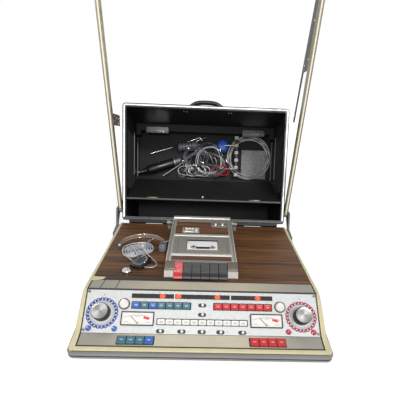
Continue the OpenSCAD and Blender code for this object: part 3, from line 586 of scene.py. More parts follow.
def seal():
    """The cream seal that runs down both sides of the deck and along the front."""
    outer, corner = RIM_X - 1, 9.0
    widths = ((0, 5.5), (-180, 6.5), (KINK_Y, 8), (PANEL_END[0], 10), (LOWER_END[0], outer - SEAL_X))
    f = Form()
    for side in (1, -1):
        rings = []
        for y, z in seal_line():
            low = min(z - 1, max(rim_top(y) - 0.4, z - 8))
            near = max(0, corner - (y - SEAL_Y))
            edge = SEAL_X + between(widths, y) - (corner - sqrt(corner ** 2 - near ** 2))
            soft = min(4, (z - low) * 0.8)
            over = [(edge - soft + soft * sin(a), z - soft + soft * cos(a)) for a in turn(6, 0, 90, True)]
            section = [(SEAL_X, low), (SEAL_X, z)] + over + [(max(edge, outer - 3), low)]
            rings.append([(side * x, y, h) for x, h in section])
        f.rings(rings)
    z, low = LOWER_END[1], RIM_FRONT[1] + 0.5
    f.prism([(LOWER_END[0], low), (LOWER_END[0], z), (SEAL_Y + 3, z - 0.5), (SEAL_Y + 1, z - 1.2), (SEAL_Y, z - 2.2),
             (SEAL_Y, low)], -SEAL_X, SEAL_X, "x")
    f.done("seal_strip", "console", "cream", replaces=["cream_seal"], slot="cream_rubber", smooth=50)


def edge_lines():
    """Thin dark gaskets round the panels, the printed frame on the strip, and a bright cream patch at one corner."""
    wide = HALF_W + 0.4

    def both_edges(form, front, back):
        for x in (-wide, HALF_W - 2.0):
            form.box((x, x + 2.4), (front, back), (-0.2, 0.35))

    f = Form(PANEL)
    f.box((-wide, wide), (-2.3, 0.1), (-0.2, 0.3))
    both_edges(f, -PANEL_LEN, 0)
    f.done("panel_gasket", "console", "line")
    f = Form(LOWER)
    f.box((-wide, wide), (-LOWER_LEN - 0.3, -LOWER_LEN + 2.1), (-0.2, 0.35))
    both_edges(f, -LOWER_LEN, 0.4)
    f.box((-wide, wide), (-0.5, 0.3), (-0.2, 0.12))
    f.done("lower_gasket", "console", "line")
    f = Form(DECK)
    f.box((-wide, wide), (-DECK_LEN - 1.8, -DECK_LEN + 0.2), (-0.2, 0.4))
    both_edges(f, KINK_Y, -DECK_LEN)
    f.box((-wide, wide), (KINK_Y, KINK_Y + 1.6), (-0.2, 0.3))
    line, lean, front, back = 1.5, 3, KINK_Y + 1, -DECK_LEN - 1
    for x in (-196, -167):
        f.prism([(x, front), (x + line, front), (x + line + lean, back), (x + lean, back)], 0, 0.14)
    f.prism(rounded(-94, -DECK_LEN + 4.6, 224, 8.6, 1.5), 0, 0.5)
    f.done("strip_gasket", "console", "line")
    f = Form(DECK)
    f.prism([(-217.6, -278), (-198, -DECK_LEN - 0.6), (-193, -266), (-217.6, -264)], 0.1, 1.3)
    f.done("corner_patch", "console", "cream", bevel=0.4)
    f = Form(DECK)
    f.prism([(-79, -272.6), (72, -272.6), (70, -265.4), (-77, -265.4)], 0.02, 0.3)
    f.done("front_lip", "console", "inlay")


# ---------- control panel ----------
DIAL_X, DIAL_S = 184.0, 46.5
KEY_PITCH, KEY_S, KEY_LEN = 15.5, 31.0, 11.0
BLUE_X0, RED_X0 = -131.0, 21.0
WHITE_PITCH, WHITE_S, WHITE_LEN = 15.0, 61.3, 9.0
BAR_PITCH, BAR_X0, BAR_S, BAR_LEN = 16.0, 85.5, 14.5, 15.0
METER_X, METER_S, METER_W, METER_LEN = 118.5, 56.0, 60.0, 26.0
ROUND_X, ROUND_S = 145.5, 29.0
KEY_RISE = 4.0
SMALL_X, SMALL_S, SMALL_R = (158.5, 205.0), 75.0, 4.8
SLIDES = ((0, 28.6), (0, 46.5), (-75, 78), (-36.5, 78), (0, 78), (34, 78), (74, 78))
WINDOWS = ((-133, -54), (-52, 51), (53, 132))
LAMPS = (-75.5, -45.5, 27.5, 104)


def key_row(name, frame, body, looks, which, x0, pitch, s, length, mark=3, round_x=1.2):
    """One bank of caps. which gives the look of each cap, and mark is the look of the dash that is on it."""
    f = Form(frame)
    for i, look in enumerate(which):
        x = x0 + (i + 0.5) * pitch
        f.look = look
        f.cap(x, -s, pitch - 1, length, round_x, -8, KEY_RISE)
        f.look = mark
        f.box((x - 3.1, x + 3.1), (-s - 0.2, -s + 0.7), (KEY_RISE - 0.5, KEY_RISE - 0.3))
        f.box((x - 1.8, x + 2.2), (-s - 1.5, -s - 1.0), (KEY_RISE - 0.5, KEY_RISE - 0.3))
    f.done(name, body, looks, replaces=[body], smooth=28)


def key_banks():
    """All banks of keys and the wells that they stand in."""
    blue = (BLUE_X0, KEY_PITCH, KEY_S, KEY_LEN)
    red = (RED_X0, KEY_PITCH, KEY_S, KEY_LEN)
    white = (-5.5 * WHITE_PITCH, WHITE_PITCH, WHITE_S, WHITE_LEN)
    left = (-BAR_X0 - 4 * BAR_PITCH, BAR_PITCH, BAR_S, BAR_LEN)
    right = (BAR_X0, BAR_PITCH, BAR_S, BAR_LEN)
    key_row("blue_caps", PANEL, "blue_keys", "blue teal teal ink_white", (0, 1, 0, 1, 1, 1, 1), *blue)
    key_row("red_caps", PANEL, "red_keys", "red ink_pale", [0] * 7, *red, mark=1)
    key_row("white_caps", PANEL, "white_keys", "white ink_grey", [0] * 11, *white, mark=1)
    key_row("left_bar_caps", LOWER, "left_bars", "teal blue ink_white", (0, 0, 0, 1), *left, mark=2)
    key_row("right_bar_caps", LOWER, "right_bars", "red ink_pale", [0] * 4, *right, mark=1)
    for name, frame, banks in (("key_wells", PANEL, ((7, blue), (7, red), (11, white))),
                               ("bar_wells", LOWER, ((4, left), (4, right)))):
        wells = Form(frame)
        for count, (x0, pitch, s, length) in banks:
            frame_round(wells, x0, x0 + count * pitch, s, length)
        wells.done(name, "console", "line", bevel=0.15)


def frame_round(form, x0, x1, s, length):
    """A thin dark frame round a bank of keys, wider along its top edge."""
    x, w = (x0 + x1) / 2, x1 - x0
    form.frame_ring(rounded(x, -s + 0.5, w + 2.6, length + 3.4, 1.2), rounded(x, -s, w + 0.5, length + 0.6, 0.8),
                    0.02, 0.5)


def dials():
    """Two printed dials with their fluted knobs: blue on the left, red on the right."""
    marks, face = 24, 1.0
    pitch, whole = 360 / marks, 359.9
    for side, name, colour in ((-1, "left", "dial_blue"), (1, "right", "dial_red")):
        x, s = side * DIAL_X, -DIAL_S
        f = Form(PANEL)
        f.turned((x, s, 0), [(29.5, 0), (29.5, 0.7), (29.1, face), (24, face), (4.2, face), (4.2, 0)], 96)
        f.look = 1
        for i in range(marks):
            f.band(x, s, 28.0, 29.2, i * 360 / marks + 1.6, pitch * 0.72, face, 1.14, 3)
        f.band(x, s, 23.4, 28.2, 0, whole, face, 1.14, 96)
        f.look = 3
        for i in range(marks):
            a, low = i * 360 / marks + 4.6, 25.5 if i % 3 else 24.3
            f.band(x, s, 24.3, 27.3, a, 3.0, 1.14, 1.2, 1)
            f.band(x, s, low, 26.2 if i % 3 else 25.0, a + 3, 2.4, 1.14, 1.2, 1)
            f.band(x, s, 26.6, 27.3, a + (3 if i % 2 else -2), 2.2, 1.14, 1.2, 1)
        f.look = 2
        for i in range(5):
            f.band(x, s, 19.2 + 1.1 * i, 19.6 + 1.1 * i, 0, whole, face, 1.05, 72)
        for i in range(2 * marks):
            f.band(x, s, 22.9, 24.0 if i % 2 else 24.4, i * 7.5 - 0.4, 0.8, face, 1.1, 1)
        f.done(name + "_dial", "console", "panel " + colour + " ink_grey ink_white",
               replaces=["dial_rings"] if side > 0 else (), slot="dial_print", smooth=30)
        knob(name, x, s)
        f = Form(PANEL)
        f.box((x - 0.3, x + 0.3), (-14, -10.5), (0, 0.12))
        f.box((x - 0.9, x + 0.9), (-10.5, -9.9), (0, 0.12))
        f.done(name + "_index", "console", "ink_dark")


def knob(name, x, s):
    """A fluted grip on a plain skirt, with a turned metal cap."""
    flutes, per = 30, 6

    def fluted(radius, depth, h):
        """One ring: two of every six points are sunk by the flutes' depth."""
        return [(*polar(x, s, radius - depth * (i % per in (0, 1)), a), h) for i, a in enumerate(turn(flutes * per))]

    f = Form(PANEL)
    f.rings([fluted(*ring) for ring in ((15.9, 0.0, 1.4), (16.4, 0.0, 3.0), (16.3, 0.9, 3.6), (15.9, 0.9, 17.2),
                                        (15.2, 0.6, 18.6), (14.6, 0, 19.0))])
    f.look = 1
    f.turned((x, s, 0), [(14.7, 18.9), (14.5, 19.9), (13.9, 20.4), (13.2, 20.1), (12.8, 19.9), (9, 19.9),
                         (0.1, 19.9)], 72)
    f.look = 2
    f.box((x - 0.5, x + 0.5), (s + 13.4, s + 15.2), (18.0, 19.8))
    f.done(name + "_knob_shell", name + "_knob", "knob_side knob_cap ink_white", replaces=[name + "_knob"],
           origin=(x, s, 0), smooth=32)


def meters():
    """Each meter has a dark frame, a printed white face with its scale, and a thin needle."""
    card, ink = 1.1, 1.18
    low, high, ticks = 69.0, 111.0, 24
    for side, name in ((-1, "left"), (1, "right")):
        x, s = side * METER_X, -METER_S
        pivot, centre = s - METER_LEN / 2 + 5, (x, s - 62.5)
        f = Form(PANEL)
        f.prism(rounded(x, s, 57, 22.6, 0.6), 0.9, card)
        f.look = 1
        f.frame_ring(rounded(x, s, METER_W, METER_LEN, 1.6), rounded(x, s, 56.6, 22.2, 0.8), 0, 3)
        for i in range(ticks + 1):
            a = radians(high - (high - low) * i / ticks)
            long = 3.0 if i % 4 == 0 else 1.8
            tip = Vector((cos(a), sin(a)))
            start, end = Vector(centre) + tip * 68.4, Vector(centre) + tip * (68.4 + long)
            across = Vector((-tip.y, tip.x)) * 0.2
            f.look = 4 if i > 15 else 2
            f.prism([start - across, end - across, end + across, start + across], card, ink)
        f.look = 2
        f.band(*centre, 68.0, 68.5, low + 14, high - low - 14, card, ink, 20)
        for x0, x1, t in ((-24, -16, -6.4), (-3, 4, -7.6), (15, 24, -7.0), (-3, 5, 3.2)):
            f.box((x + x0, x + x1), (s + t, s + t + 0.6), (card, ink))
        f.look = 4
        f.band(*centre, 63.6, 67.6, low + 2, 9.4, card, 1.2, 8)
        f.band(*centre, 68.0, 68.7, low, 14, card, 1.2, 8)
        f.look = 1
        f.turned((x, pivot, 0.9), [(0.8, 0), (0.8, 1.8)], 16)
        f.done(name + "_meter_face", "console", "meter ink_dark ink_grey ink_dark ink_red",
               replaces=["level_meters"] if side > 0 else (), slot="meter_white", bevel=0.1)
        f = Form(PANEL)
        base = Vector((x, pivot, 1.5))
        tip = base + Vector((-12.4, 12.6, 0.35))
        across, thick = Vector((0.28, 0.28, 0)), Vector((0, 0, 0.5))
        f.rings([[p - across, p + across, p + across + thick, p - across + thick] for p in (base, tip)])
        f.look = 1
        f.turned(base, [(1.5, 0), (1.5, 0.6), (1.1, 0.9), (0.1, 1.0)], 24)
        f.done(name + "_pointer", name + "_needle", "needle ink_soft", replaces=[name + "_needle"])


def small_controls():
    """The round buttons in their bezels, the small buttons under the dials, and the slide knobs in their slots."""
    for side, name in ((-1, "left"), (1, "right")):
        x, s = side * ROUND_X, -ROUND_S
        f = Form(PANEL)
        f.turned((x, s, 0), [(8, -8), (8, 2.8), (7.5, 3.9), (6.6, 4.4), (5.6, 4.3), (4.8, 3.9), (2, 3.7),
                             (0.1, 3.7)], 48)
        f.look = 1
        f.band(x, s, 4.5, 4.9, 0, 359.9, 3.85, 4.0, 40)
        f.done(name + "_round_cap", name + "_round_button", "white ink_pale", replaces=[name + "_round_button"])
        f = Form(PANEL)
        f.turned((x, s, 0), [(10.6, 0), (10.6, 1.9), (10.2, 2.3), (9.0, 2.35), (9.0, 0)], 48)
        f.look = 1
        f.turned((x, s, 0), [(9.0, 0), (9.0, 2.2), (8.8, 2.3), (8.45, 2.2), (8.45, 0)], 48)
        f.done(name + "_bezel", "console", "line white", replaces=["button_bezels"] if side > 0 else ())
    for side, name, look in ((-1, "blue_small_buttons", "blue"), (1, "red_small_buttons", "small_red")):
        f = Form(PANEL)
        for x in SMALL_X:
            f.turned((side * x, -SMALL_S, 0),
                     [(SMALL_R, -7), (SMALL_R, 2), (4.4, 2.8), (3.4, 3.2), (2.4, 2.7), (0.1, 2.6)])
        f.look = 1
        for x in SMALL_X:
            f.box((side * x - 1.4, side * x + 1.4), (-SMALL_S + 0.3, -SMALL_S + 0.8), (2.6, 2.75))
        f.done(name.replace("buttons", "caps"), name, look + " ink_pale", replaces=[name])
    slots, knobs = Form(PANEL), Form(PANEL)
    for x, s in SLIDES:
        slots.prism(rounded(x - 0.8, -s, 15, 7.4, 3.5, 6), 0.02, 0.3)
        knobs.turned((x, -s, 0), [(2.6, -7), (2.6, 2.2), (2.2, 3), (2.6, 4), (2.5, 4.9), (1.8, 5.5), (0.1, 5.6)], 24)
    slots.done("slide_slots", "console", "line")
    knobs.done("slide_knobs", "slide_keys", "white", replaces=["slide_keys"])


def window_fittings():
    """Dark windows with a soft step at the edge, the tall lenses of the lamps, and small printed lines."""
    mid = -12.75
    f = Form(PANEL)
    for x0, x1 in WINDOWS:
        x, wide = (x0 + x1) / 2, x1 - x0
        f.frame_ring(rounded(x, mid, wide, 8.5, 0.6), rounded(x, mid, wide - 1.2, 7.2, 0.4), 1.3, 1.75)
    f.done("window_rims", "console", "smoke", bevel=0.15)
    f = Form(PANEL)
    for x in LAMPS:
        f.look = 1
        f.prism(rounded(x, mid, 13.0, 7.0, 3.2), 1.3, 1.6)
        f.look = 0
        f.prism(rounded(x, mid, 9.4, 7.2, 2.9), 1.42, 2.2)
    f.done("lamp_lenses", "console", "lamp halo", bevel=0.5)
    f = Form(PANEL)
    for x in (-54, 51):
        f.box((x, x + 2), (-17.6, -7.9), (0, 1.5))
    f.look = 1
    print_h = (0, 0.1)
    for x0, x1 in WINDOWS:
        for i in range(int((x1 - x0) / 11)):
            f.box((x0 + 4 + 11 * i, x0 + 9 + 11 * i), (-5.4, -4.6), print_h)
    for x0, count, pitch, s in ((BLUE_X0, 7, KEY_PITCH, 22.4), (RED_X0, 7, KEY_PITCH, 22.4),
                                (-5.5 * WHITE_PITCH, 11, WHITE_PITCH, 53.2)):
        for i in range(count):
            f.box((x0 + i * pitch + 4.5, x0 + i * pitch + 11), (-s - 0.4, -s + 0.3), print_h)
    for x, s in SLIDES:
        f.box((x + 9, x + 15), (-s - 0.4, -s + 0.3), print_h)
    f.done("panel_print", "console", "bright ink_soft")


# ---------- cassette recorder ----------
REC_X, REC_HALF, INLAY_HALF = -4.0, 75.0, 64.5
KEY_AXIS = (-233.7, DECK_Z + 11.5)       # the pin that the piano keys turn on: y, z
PIANO_X0, PIANO_PITCH, PIANO_LEN = -59.6, 18.2, 40.0


def recorder():
    """Everything on the recorder: bright lines, cross bars, corner castings, counter, level knobs and slots."""
    left, right, inlay = REC_X - REC_HALF, REC_X + REC_HALF, INLAY_HALF + 0.4
    f = Form(REC)
    for inner, outer, front, back, high in ((1.2, 2.6, -213, -20, 0.7), (7.4, 8.6, -213, -20, 0.7),
                                            (10, 11.2, -214, -33, 0.45)):
        for x0, x1 in ((left + inner, left + outer), (right - outer, right - inner)):
            f.box((x0, x1), (front, back), (-0.1, high))
    f.done("recorder_edges", "console", "bright", bevel=0.3)
    f = Form(REC)
    for u in (103.0, 188.2):
        f.look = 0
        f.prism([(-u - 5, 0.1), (-u - 4.2, 1.9), (-u + 1, 2.6), (-u + 4.4, 2.0), (-u + 5, 0.1)],
                REC_X - inlay, REC_X + inlay, "x")
        f.look = 1
        f.box((REC_X - inlay, REC_X + inlay), (-u - 6.4, -u - 5), (0.1, 0.5))
    f.look = 0
    f.prism([(-14, 0.1), (-13, 2.2), (-5, 2.8), (-2.4, 2.0), (-1.4, 0.1)], left + 3, right - 3, "x")
    f.done("recorder_bars", "console", "bright line", bevel=0.3)
    f = Form(REC)
    for x in (left + 0.4, right - 21):
        f.prism([(-214, -0.8), (-213, 0.7), (-228, 0.4), (-236, -3.5), (-238.6, -10), (-238.6, -17), (-226, -17)],
                x, x + 20.6, "x")
    f.done("recorder_corners", "console", "corner", bevel=0.8)
    f = Form(REC)
    f.prism(rounded(-31, -78.5, 42, 27, 2), 0.2, 1.3)
    f.look = 1
    f.prism(rounded(-31, -78.5, 38.5, 23.5, 1.4), 1.3, 2.4)
    f.look = 2
    f.prism(rounded(-35, -75, 25, 9.4, 1), 2.4, 2.7)
    f.look = 3
    for i in range(3):
        f.turned_x((-45 + 7.4 * i, -75, 1.4), [(3.2, 0), (3.4, 0.4), (3.4, 6.2), (3.2, 6.6)], 20)
    f.prism(rounded(-17.5, -78.5, 6, 12, 1.2), 2.4, 4.2)
    f.look = 1
    f.prism(rounded(-35, -86.2, 24, 4.4, 0.8), 2.4, 3.4)
    f.done("tape_counter", "console", "recorder bright line white", replaces=["recorder_trim"], bevel=0.3)
    f = Form(REC)
    f.prism(rounded(38.5, -46, 40, 26, 3), 0.2, 1.5)
    f.look = 1
    for x in (29.5, 47.5):
        f.turned((x, -45, 1.5), [(7.2, 0), (7.2, 1.0), (6.6, 1.4), (5.6, 0.9), (3.4, 0.7), (0.1, 0.7)])
        f.turned((x, -45, 2.2), [(3.0, 0), (3.0, 2.2), (2.4, 2.9), (0.1, 3.1)], 24)
    f.done("record_levels", "console", "recorder chrome", bevel=0.3)
    f = Form(REC)
    for x in (left + 26, right - 26):
        f.box((x - 6, x + 6), (-31, -18), (-0.1, 1.0))
    for i in range(13):
        f.box((-56 + 8.6 * i, -51.6 + 8.6 * i), (-26.5, -21.5), (-0.1, 0.9))
    f.done("recorder_back_slots", "console", "recorder", bevel=0.3)
    lid()
    tape()
    piano_keys()
    f = Form(DECK)
    for x, low in ((left - 17, left - 15), (right + 0.2, right + 1)):
        f.turned_x((x, -24, 15), [(5.4, 0), (6, 0.6), (6, 9), (4.4, 9.6), (4.4, 16.8)])
        f.prism(rounded(low + 7, -24, 14, 20, 2), 0.1, 9)
    f.done("recorder_brackets", "console", "recorder", bevel=0.6)


def lid():
    """The lid has a pressed frame round its window, a grip along its front edge and a round hinge barrel."""
    mid = (114.0 + 180.0) / 2
    window = (-2.25, -mid + 1.5)
    opening = rounded(*window, 70.5, 45, 1.6)
    f = Form(REC)
    f.frame_ring(rounded(-2, -mid, 109, 65, 2.4), opening, -3.6, 0.7)
    f.frame_ring(rounded(*window, 74.5, 49, 2.4), opening, 0.6, 1.1)
    f.look = 1
    f.frame_ring(rounded(*window, 70.6, 45.1, 1.6), rounded(*window, 69.4, 43.9, 1.2), -3.4, 0.3)
    f.look = 0
    for i in range(3):
        f.box((-46, 42), (-mid - 28.4 + i * 1.8, -mid - 27.4 + i * 1.8), (0.6, 1.1))
    f.turned_x((-56.4, -116.6, -1.5), [(2.1, 0), (2.1, 108.8)], 20)
    f.done("lid_shell", "recorder_lid", "recorder line", replaces=["recorder_lid"], bevel=0.3)


def tape():
    """The cassette behind the window: white shell, label and two toothed hubs."""
    x, mid, top, hub_s = -1.0, 147.0, -3.9, -149.0
    f = Form(REC)
    f.prism(rounded(x, -mid, 100.4, 63.8, 2.4), -15.6, top)
    f.look = 1
    f.prism(rounded(x, -mid + 3, 88, 42, 2), top, top + 0.25)
    f.look = 2
    for i in range(5):
        line = -mid + 19.6 - 3.4 * i, -mid + 20.2 - 3.4 * i
        f.box((x - 38 + 2 * i, x + 34 - 3 * i), line, (top + 0.25, top + 0.35))
    f.look = 3
    f.prism(rounded(x, -mid - 5, 30, 9.4, 1), top + 0.25, top + 0.5)
    for hub in (-22.2, 20.2):
        f.look = 3
        f.turned((hub, hub_s, top), [(7.2, 0), (7.2, 0.45), (0.1, 0.5)])
        f.look = 1
        for i in range(6):
            f.band(hub, hub_s, 3.6, 4.9, i * 60, 26, top + 0.45, top + 0.8, 2)
        f.band(hub, hub_s, 4.9, 5.6, 0, 359.9, top + 0.45, top + 0.8, 30)
    f.done("tape_shell", "console", "white paper ink_grey line", replaces=["cassette"], bevel=0.25)


def piano_keys():
    """Six keys with ridged tops: the red one records."""
    for i, name in enumerate(("record_key", "rewind_key", "forward_key", "play_key", "stop_key", "pause_key")):
        x0 = PIANO_X0 + i * PIANO_PITCH
        y0, z0 = KEY_AXIS
        back, front = y0 + 2.4, y0 + 4 - PIANO_LEN
        ridges = []
        for j in range(9):
            t = j / 9
            y, z = back + (front + 9 - back) * t, z0 + 7.4 + (DECK_Z + 10 - z0 - 7.4) * t
            ridges += [(y - 0.3, z), (y - 1.2, z + 0.55), (y - 2.4, z + 0.45), (y - 3.0, z - 0.15)]
        outline = ridges + [(front + 1, DECK_Z + 8), (front - 1.5, DECK_Z + 5), (front - 1, DECK_Z + 3.4),
                            (front + 8, DECK_Z + 4.5), (back, z0 - 4)]
        f = Form(CASE)
        f.prism(outline, x0 + 0.5, x0 + PIANO_PITCH - 0.5, "x")
        f.look = 1
        f.box((x0 + 6, x0 + 12), (front + 3.5, front + 4.5), (DECK_Z + 8.35, DECK_Z + 8.7))
        f.done(name + "_cap", name, ("red" if i == 0 else "piano") + " ink_pale", replaces=[name],
               bevel=0.35, smooth=25)


# ---------- accessory box and cover frame ----------
BACK_B = 185.7                 # the inner back of the box
COIL = (141.0, 214.0)            # the middle of the headset's coil


def in_box(*points):
    """Box places (x, a, b): across, up the box, and into it, as local points (x, b, a)."""
    return [(x, b, a) for x, a, b in points]


def box_trim():
    """The bound rim of the mouth, ribs, latch plates, rivets and the lining of the box."""
    edge = ((0, 8), (0, 1.6), (-0.5, 0.5), (-1.4, 0.1), (-1.8, 0.7), (-2.3, 0), (-3.2, -0.2), (-6.4, -0.2), (-7.0, 0.1),
            (-7.4, 0.8), (-8.2, 0.6), (-9.6, 0.7), (-10, 1.4), (-10, 8))
    bright = ((-3.0, -0.27), (-3.2, -0.3), (-6.4, -0.3), (-6.6, -0.15))
    places = list(rim_corners(8))
    above = [place for place in places if place[1] > BOX_A0 + 7.5]
    f = Form(BOX)
    f.rings([[(x + out.x * d, b, a + out.y * d) for d, b in edge] for x, a, out in places], loop=True)
    f.look = 1
    f.rings([[(x + out.x * d, b, a + out.y * d) for d, b in bright] for x, a, out in above], closed=False)
    f.look = 2
    f.turned_x((-200, 0, 0), [(3.3, 0), (3.3, 400)], 16)
    f.done("box_rim_band", "accessory_box", "rim_edge box_rim hinge_black", replaces=["box_rim"],
           slot="rim_metal", smooth=40)
    # the ribs are light grey as painted highlight on the black side walls
    f = Form(BOX)
    for side in (-1, 1):
        x, inner = side * (INNER_X - 0.2), side * (INNER_X - 0.2) - side * 2.4
        for b, wide in ((108, 8), (160, 12)):
            f.prism([(x, b), (inner, b + 0.8), (inner, b + wide - 0.8), (x, b + wide)], 140, 262)
    f.done("box_ribs", "accessory_box", "rib", bevel=0.6)
    f = Form(BOX)
    for x in (-147, 148):
        f.look = 0
        f.prism(rounded(x, 278.5, 68, 11, 2), 143.4, 145.6, "y")
        f.look = 1
        f.prism(rounded(x + 8, 279.0, 24, 9, 2), 142.8, 145.0, "y")
        f.tube([(x - 6, 143.8, 281), (x + 4, 143.4, 284), (x + 14, 143.4, 282), (x + 20, 143.6, 277)], 1.2, 8)
        for dx in (-26, -12, 24):
            f.turned_x((x + dx, 144.6, 278.5), [(0.4, 0), (2.4, 0.3), (2.4, 1.8), (0.4, 2.2)], 16)
    f.done("latch_plates", "accessory_box", "latch chrome", bevel=0.5)
    f = Form(BOX)
    for x in (-60, -52, 60, 68):
        f.ball((x, 24, BOX_A1 - 9.4), 1.7, 0.7, 12)
    for side in (-1, 1):
        for a in (24, 120, 210, 286):
            f.ball((side * (BOX_X - 5), -0.2, a), 1.5, 0.6, 12)
    f.done("box_rivets", "accessory_box", "chrome")
    f = Form(BOX)
    across = (-INNER_X + 0.5, INNER_X - 0.5)
    f.box(across, (BACK_B - 41, BACK_B - 38), (BOARD_A, BOARD_A + 7))
    f.box(across, (BACK_B - 0.6, BACK_B), (BOARD_A, BOARD_A + 160))
    f.done("back_lining", "accessory_box", "lining", bevel=0.4)


def rim_corners(radius):
    """Places and outward directions round the mouth of the box, up one side from the hinge and down the other."""
    x, low, high = BOX_X - radius, BOX_A0 + radius, BOX_A1 - radius
    for cx, ca, start in ((x, low, -90), (x, high, 0), (-x, high, 90), (-x, low, 180)):
        for angle in turn(6, start, 90, True):
            out = Vector((cos(angle), sin(angle)))
            yield cx + radius * out.x, ca + radius * out.y, out


def handle_grip():
    """A moulded grip, thick in the middle, on two side arms."""
    line = flowing(in_box((-103, 9.6, 0), (-92, 15, 0), (-70, 17, 0), (-48, 29, 0), (-28, 40, 0), (0, 42.5, 0),
                          (28, 40, 0), (48, 29, 0), (70, 17, 0), (92, 15, 0), (103, 9.6, 0)), 5)
    f = Form(moved(BOX, (0, 98, BOX_A1)))
    count = len(line)
    f.tube(line, [3.9 + 1.9 * sin(pi * i / (count - 1)) ** 2 for i in range(count)], 16, 1.1)
    for i in range(13):
        p = line[int(count * (0.3 + 0.4 * i / 12))]
        f.ball((p.x, 0, p.z + 4.6), 1.7, 1.0, 10)
    for side in (-1, 1):
        f.turned_x((side * 96 - 5, 0, 10), [(4.5, 0), (5.6, 0.8), (5.6, 9.2), (4.5, 10)], 20)
    f.done("handle_grip", "handle", "handle", replaces=["carry_handle"])


def flap_skin():
    """The flap is a board covered in leathercloth, with a round edge that bows a little, drawn grey as painted
    highlight, and two catches.
    """
    rows, cols, half = 12, 24, INNER_X - 3.7
    near, far = 3, 154.6
    f = Form(FLAP)
    for sign in (1, -1):
        f.rings([[(-half + 2 * half * j / cols, sign * (2.3 + 0.25 * sin(pi * j / cols) * sin(pi * i / rows)),
                   near + (far - near) * i / rows) for j in range(cols + 1)] for i in range(rows + 1)], closed=False)
    f.look = 1
    # painted highlight: the grey tube along the flap's edge
    f.tube([(-half, 0, 4), (-half, 0, 153.4), (half, 0, 153.4), (half, 0, 4)], 2.35)
    f.tube([(-half + 1, 0, 153.8), (half - 1, 0, 153.8)], 2.6, 12)
    f.look = 0
    f.turned_x((-half, 0, 0), [(4, 0), (4, 2 * half)], 20)
    f.done("flap_panel", "flap", "flap flap_edge", replaces=["flap_door"])
    f = Form(FLAP)
    for x in (-139, 138):
        f.prism(rounded(x, 149.5, 30, 6, 1.6), 2.3, 3.1, "y")
        f.tube([(x - 8, 2.6, 150), (x - 3, 2.8, 151.2), (x + 4, 2.8, 149.2), (x + 9, 2.6, 150)], 0.9, 8)
        for dx in (-11, 11):
            f.ball((x + dx, 2.6, 149.6), 1.0, 0.8, 10)
    f.ball((-4, 3.0, 141), 3.6, 0.7, 14)
    f.done("flap_catches", "flap", "brass", bevel=0.3)


def cover_frame():
    """Cream-cored rails with grey edges, their pivots, and the brace with its pierced knuckle."""
    x0, x1 = RAIL_X
    depth, y0, z0 = 7.0, *PIVOT
    skin, back = 2.7, y0 + depth
    f = Form(CASE)
    for side in (-1, 1):
        for low, high, look, inset, radius in ((x0, x0 + skin, 0, 0, 0.7), (x1 - skin, x1, 0, 0, 0.7),
                                               (x0 + skin, x1 - skin, 1, 1.6, 0.2)):
            f.look = look
            front = y0 - depth + inset
            f.prism(rounded(side * (low + high) / 2, (front + back) / 2, high - low, back - front, radius, 3),
                    z0 + 6, RAIL_TOP + 8)
        f.look = 0
        f.turned_x((side * (x0 + x1) / 2 - 4.7, y0, z0), [(6.4, 0), (7, 0.6), (7, 8.8), (6.4, 9.4)], 28)
    f.done("rail_section", "cover_frame", "rail_edge rail_core", replaces=["side_rails"], slot="rim_metal")
    f = Form(CASE)
    for side in (-1, 1):
        f.turned_x((side * 233.6 - 2.6, y0, z0), [(3, 0), (4.6, 0.4), (4.6, 4.4), (3.4, 5.0)], 6)
        for y, z in ((-16, 76), (-36, 70), (12, 104)):
            f.turned_x((side * 236.2 - 1.3, y, z), [(1.2, 0), (2.8, 0.3), (2.8, 2.2), (1.2, 2.6)], 16)
    f.done("pivot_bolts", "console", "chrome")
    f = Form(CASE)
    gusset, plate, thick = z0 + 344, BOX_X + 3, 2.5
    f.prism([(back, z0 + 213), (back, z0 + 240), (y0 + 72, z0 + 228), (y0 + 62, z0 + 204)], -plate - thick, -plate, "x")
    f.look = 1
    for y, z in ((44, 336), (62, 340), (80, 336), (46, 346), (76, 326)):
        f.turned_x((-plate - 3.3, y, z), [(0.6, 0), (2.2, 0.3), (2.2, 4.2), (0.6, 4.5)], 12)
    f.look = 0
    for i in range(4):
        f.turned((-plate - 1, y0 + 63.9 + 2.7 * i, z0 + 203 + i * 6.2),
                 [(1.6, 0), (2.3, 0.5), (2.3, 4.2), (1.6, 4.7)], 14)
    f.look = 2
    f.prism([(back, gusset), (back, RAIL_TOP), (y0 + 33, RAIL_TOP), (y0 + 51, gusset), (y0 + 62, gusset - 115),
             (y0 + 54, gusset - 115), (y0 + 43, gusset - 6)], plate, plate + thick, "x")
    f.look = 1
    for y, z in ((40, gusset + 20), (40, gusset + 90), (62, gusset + 8), (80, gusset - 100)):
        f.turned_x((plate - 0.8, y, z), [(0.6, 0), (2.4, 0.3), (2.4, 3.8), (0.6, 4.1)], 12)
    f.done("brace_plates", "cover_frame", "brace chrome brace_dark", bevel=0.4, replaces=["stays"])


# ---------- accessories in the box ----------
def phone_shell(f, x, a):
    """An earphone that faces out of the box: cushion, shell and a raised cap."""
    profile = ((17, 0), (20.5, 1.5), (21, 5), (20.6, 9), (18.4, 12), (17.6, 13), (17.4, 15), (16, 18), (12, 20.6),
               (7, 21.8), (0.1, 22))
    f.rings([[(x + r * cos(t), BACK_B - h, a + r * sin(t)) for t in turn(40)] for r, h in profile])


